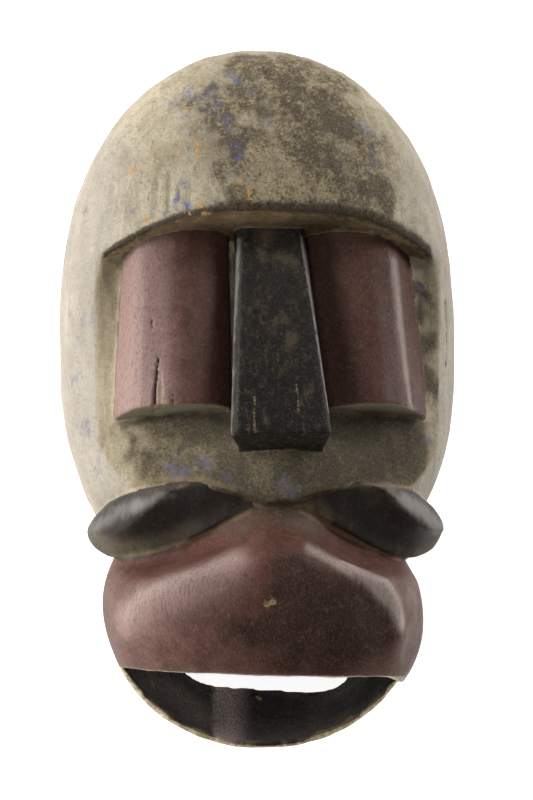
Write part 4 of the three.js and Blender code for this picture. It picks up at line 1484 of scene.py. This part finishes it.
# Painted shade, a dark red-brown, low on the front of the lip and on the eyes' inner sides.
dusky_shade = paint.broken(paint.share("dusky_shade"), blotch, 0.0, 1.0, reach=0.5)
red_base = paint.over(paint.both(dusky_shade, 0.85), red_base, colour(36, 17, 13))
# A dull rosy painted sheen on the lip's left crest and the left eye's outer facet.
rosy_sheen = paint.broken(paint.share("rosy_sheen"), blotch, 0.0, 1.1, reach=0.4)
red_base = paint.over(paint.both(rosy_sheen, 0.75), red_base, colour(166, 139, 131))
keel_brown = paint.broken(paint.share("keel_brown"), mottle, 0.0, 1.0, reach=0.7)
red_base = paint.over(paint.both(keel_brown, 0.7), red_base, colour(86, 70, 52))
# Pale painted highlights along the crests of the lip and the right eye's outer edge.
crest = paint.broken(paint.share("crest"), streak, 0.05, 1.0, reach=0.6)
red_base = paint.over(paint.both(crest, 0.7), red_base, colour(188, 170, 162))
# A grey painted sheen on the lip's right side.
ashen_sheen = paint.broken(paint.share("ashen_sheen"), blotch, 0.1, 1.0, reach=0.8)
red_base = paint.over(paint.both(ashen_sheen, 0.6), red_base, colour(126, 114, 104))
red_base = paint.over(paint.both(paint.band(grain, 0.54, 0.68), 0.35), red_base, colour(54, 38, 34))
red_base = paint.over(paint.both(paint.band(speck, 0.5, 0.68), 0.25), red_base, colour(140, 114, 96))
red_base = paint.over(paint.both(paint.band(fine_mottle, 0.54, 0.66), 0.5), red_base, colour(52, 37, 33))
hair = paint.noise(0.5, detail=2, rough=0.6, length=6, shift=41.0)
red_base = paint.over(paint.both(paint.band(hair, 0.5, 0.66), 0.3), red_base, colour(42, 28, 24))
red_base = paint.over(paint.both(paint.band(hair, 0.44, 0.3), 0.14), red_base, colour(158, 134, 118))
red_share = paint.broken(paint.share("red"), mottle, 0.25, 0.75, reach=0.9)

black_base = paint.over(paint.band(blotch, 0.35, 0.65), colour(25, 22, 20), colour(37, 33, 31))
black_base = paint.over(paint.both(paint.share("low_nose"), 0.85), black_base, colour(13, 11, 10))
black_base = paint.over(paint.both(paint.share("grey_wing"), 0.75), black_base, colour(68, 62, 58))
nose_dust = paint.broken(paint.share("nose_dust"), fine_mottle, 0.2, 1.1, reach=2.0)
black_base = paint.over(paint.both(nose_dust, 0.6), black_base, colour(104, 91, 70))
faded = paint.broken(paint.share("faded"), mottle, 0.1, 0.8, reach=0.9)
black_base = paint.over(paint.both(faded, 0.85), black_base, colour(134, 116, 88))
wing_dust = paint.broken(paint.share("wing_dust"), mottle, 0.0, 1.0, reach=0.5)
black_base = paint.over(paint.both(wing_dust, 0.85), black_base, colour(118, 107, 90))
black_base = paint.over(paint.both(paint.band(streak, 0.54, 0.66), 0.4), black_base, colour(88, 76, 58))
black_base = paint.over(paint.both(paint.band(speck, 0.5, 0.66), 0.35), black_base, colour(86, 76, 62))
black_base = paint.over(paint.both(paint.band(fine_mottle, 0.54, 0.66), 0.6), black_base, colour(30, 27, 25))
black_base = paint.over(paint.both(paint.band(mottle, 0.58, 0.7), 0.5), black_base, colour(88, 68, 48))
# Worn black edges with a painted grey highlight.
rubbed_and_sheen = paint.broken(paint.share("rubbed_and_sheen"), streak, 0.15, 0.9, reach=0.7)
black_base = paint.over(paint.both(rubbed_and_sheen, 0.85), black_base, colour(138, 132, 127))
black_share = paint.broken(paint.share("black"), mottle, 0.25, 0.75, reach=0.8)

cave_grain = paint.noise(0.9, detail=5, rough=0.75, length=14, shift=31.0)
cave_base = paint.over(paint.band(cave_grain, 0.42, 0.6), colour(22, 16, 15), colour(64, 53, 47))
cave_base = paint.over(paint.both(paint.share("jaw_dark"), 0.8), cave_base, colour(20, 15, 14))
# A painted highlight on one facet inside the jaw, lighter than the wood around it.
facet_highlight_tone = paint.over(paint.band(cave_grain, 0.36, 0.6), colour(94, 82, 77), colour(172, 156, 148))
cave_base = paint.over(paint.both(paint.share("jaw_facet_highlight"), 0.95), cave_base, facet_highlight_tone)
left_tone = paint.over(paint.band(cave_grain, 0.36, 0.6), colour(72, 61, 57), colour(134, 119, 109))
cave_base = paint.over(paint.both(paint.share("jaw_left"), 0.7), cave_base, left_tone)
cave_base = paint.over(paint.both(paint.band(speck, 0.6, 0.75), 0.3), cave_base, colour(110, 92, 76))
cave_share = paint.broken(paint.share("inside"), crumb, 0.35, 0.65, reach=0.5)

surface = paint.over(red_share, clay, red_base)
surface = paint.over(black_share, surface, black_base)
surface = paint.over(cave_share, surface, cave_base)

# %% [markdown]
# Wear comes last: the edges that stand out lose their paint first, chips go down to orange wood,
# and dirt stays in the hollows and the splits. The broad recesses get dirt and painted shade.

# %% Wear, flecks and dirt
edge = paint.broken(paint.share("worn"), mottle, 0.2, 1.1, reach=1.2)
surface = paint.over(paint.both(edge, 0.55), surface, colour(160, 136, 104))
tan_edge = paint.broken(paint.share("wing_tan"), mottle, 0.2, 1.0, reach=1.1)
surface = paint.over(paint.both(tan_edge, 0.65), surface, colour(138, 118, 88))
scratch = paint.broken(paint.share("scratched"), streak, 0.25, 0.8, reach=1.0)
surface = paint.over(paint.both(scratch, 0.7), surface, colour(162, 142, 108))
fleck = paint.both(paint.band(paint.share("blue"), 0.15, 0.8), paint.band(crumb, 0.44, 0.6))
surface = paint.over(paint.both(fleck, 0.75), surface, colour(90, 100, 156))
lip_chip = paint.broken(paint.share("chip"), fine_mottle, 0.3, 0.6, reach=0.4)
surface = paint.over(paint.both(lip_chip, 0.9), surface, paint.over(paint.band(crumb, 0.4, 0.6), colour(110, 96, 66), colour(172, 158, 118)))
chipped = paint.broken(paint.share("orange"), crumb, 0.35, 0.7, reach=0.9)
chip_colour = paint.over(paint.band(speck, 0.35, 0.65), colour(164, 116, 60), colour(206, 168, 110))
surface = paint.over(paint.both(chipped, 0.9), surface, chip_colour)
# Painted light on the brow's underside, stronger on the left side.
lit_brow = paint.broken(paint.share("lit_brow"), mottle, 0.1, 0.9, reach=0.7)
# Dirt and painted shade in the broad recesses.
grime_and_shade = paint.broken(paint.share("recess_dirt_and_shade"), blotch, 0.15, 1.0, reach=0.5)
surface = paint.over(paint.both(grime_and_shade, 0.7), surface, colour(62, 50, 34))
dirt = paint.band(paint.share("hollowed"), 0.1, 0.9)
surface = paint.over(paint.both(dirt, 0.7), surface, colour(48, 38, 28))
surface = paint.over(paint.both(lit_brow, 0.45), surface, colour(150, 126, 94))
rim_share = paint.broken(paint.share("jaw_rim"), crumb, 0.0, 0.42, reach=0.4)
rim_colour = paint.over(paint.band(crumb, 0.4, 0.6), colour(160, 144, 112), colour(224, 210, 176))
surface = paint.over(rim_share, surface, rim_colour)
surface = paint.over(paint.both(paint.band(paint.share("split"), 0.25, 0.7), 0.85), surface, colour(46, 34, 26))

# %% [markdown]
# Clay is dry and matt. The handled red and black have a low sheen. The fine grain and the crumbs of
# clay are too small for the mesh, so a bump makes them.

# %% Sheen and fine relief
sheen = paint.math("MAXIMUM", red_share, black_share)
roughness = paint.math("SUBTRACT", 0.85, paint.both(sheen, 0.32))
roughness = paint.math("ADD", roughness, paint.both(paint.math("SUBTRACT", crumb, 0.5), 0.3))
relief = paint.math("ADD", paint.both(grain, 0.7), paint.math("ADD", paint.both(crumb, 0.8), paint.both(speck, 0.5)))
bump = paint.tree.nodes.new("ShaderNodeBump")
bump.inputs["Strength"].default_value = 0.6
bump.inputs["Distance"].default_value = 0.4 * MM
paint.put(bump.inputs["Height"], relief)
shader = paint.tree.nodes.new("ShaderNodeBsdfPrincipled")
paint.put(shader.inputs["Base Color"], surface)
paint.put(shader.inputs["Roughness"], roughness)
shader.inputs["Specular IOR Level"].default_value = 0.2
paint.put(shader.inputs["Normal"], bump.outputs[0])
output = paint.tree.nodes.new("ShaderNodeOutputMaterial")
paint.put(output.inputs["Surface"], shader.outputs[0])
print("the paint has", len(paint.tree.nodes), "nodes")

# %% [markdown]
# ## Tell the frame what this piece is
# The painted mask rides on the root body, stands for the plain solid, and takes its finish from the
# slot `painted_wood`.

# %% Tie the piece to the frame
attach(mask, "root")
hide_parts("mask")

# %% [markdown]
# ## Studio
# The photograph is lit from both sides, close to the plane of the face, and more from the left, over
# a white ground. So the sides and the left facets are bright and the front is darker. Two long soft
# boxes stand low at the sides, a weaker one lights the undersides from the foot, a faint one fills
# the gaps from the front, and the pale floor glows like a lit table.

# %% Floor and lights
FLOOR_HALF = 3.0
FLOOR_GLOW = 0.9
floor_mesh = bpy.data.meshes.new("floor")
corners = [(-FLOOR_HALF, -FLOOR_HALF), (FLOOR_HALF, -FLOOR_HALF), (FLOOR_HALF, FLOOR_HALF), (-FLOOR_HALF, FLOOR_HALF)]
floor_mesh.from_pydata([(cx, cy, 0) for cx, cy in corners], [], [(0, 1, 2, 3)])
floor = bpy.data.objects.new("floor", floor_mesh)
bpy.context.scene.collection.objects.link(floor)
pale = bpy.data.materials.new("pale_floor")
pale.use_nodes = True
pale_shader = pale.node_tree.nodes["Principled BSDF"]
pale_shader.inputs["Base Color"].default_value = (0.9, 0.9, 0.9, 1)
pale_shader.inputs["Roughness"].default_value = 0.9
pale_shader.inputs["Emission Color"].default_value = (1, 1, 1, 1)
pale_shader.inputs["Emission Strength"].default_value = FLOOR_GLOW
floor_mesh.materials.append(pale)


def soft_box(name, where, long_side, height, power):
    light = bpy.data.lights.new(name, "AREA")
    light.shape = "RECTANGLE"
    light.size = long_side
    light.size_y = height
    light.energy = power
    shade = bpy.data.objects.new(name, light)
    bpy.context.scene.collection.objects.link(shade)
    shade.location = where
    shade.rotation_euler = (Vector((0, 0, 0.04)) - Vector(where)).to_track_quat("-Z", "Y").to_euler()


soft_box("left_box", (-1.22, 0.4, 0.33), 0.8, 0.35, 19)
soft_box("right_box", (1.15, 0.65, 0.38), 0.8, 0.3, 13)
soft_box("foot_box", (-0.5, -1.3, 0.42), 0.8, 0.35, 7)
soft_box("front_box", (-0.5, 0.4, 2.2), 1.2, 0.8, 8)
world = bpy.data.worlds.new("studio")
world.use_nodes = True
world.node_tree.nodes["Background"].inputs["Color"].default_value = (1, 1, 1, 1)
world.node_tree.nodes["Background"].inputs["Strength"].default_value = 0.07
bpy.context.scene.world = world
bpy.context.scene.view_settings.view_transform = "Standard"
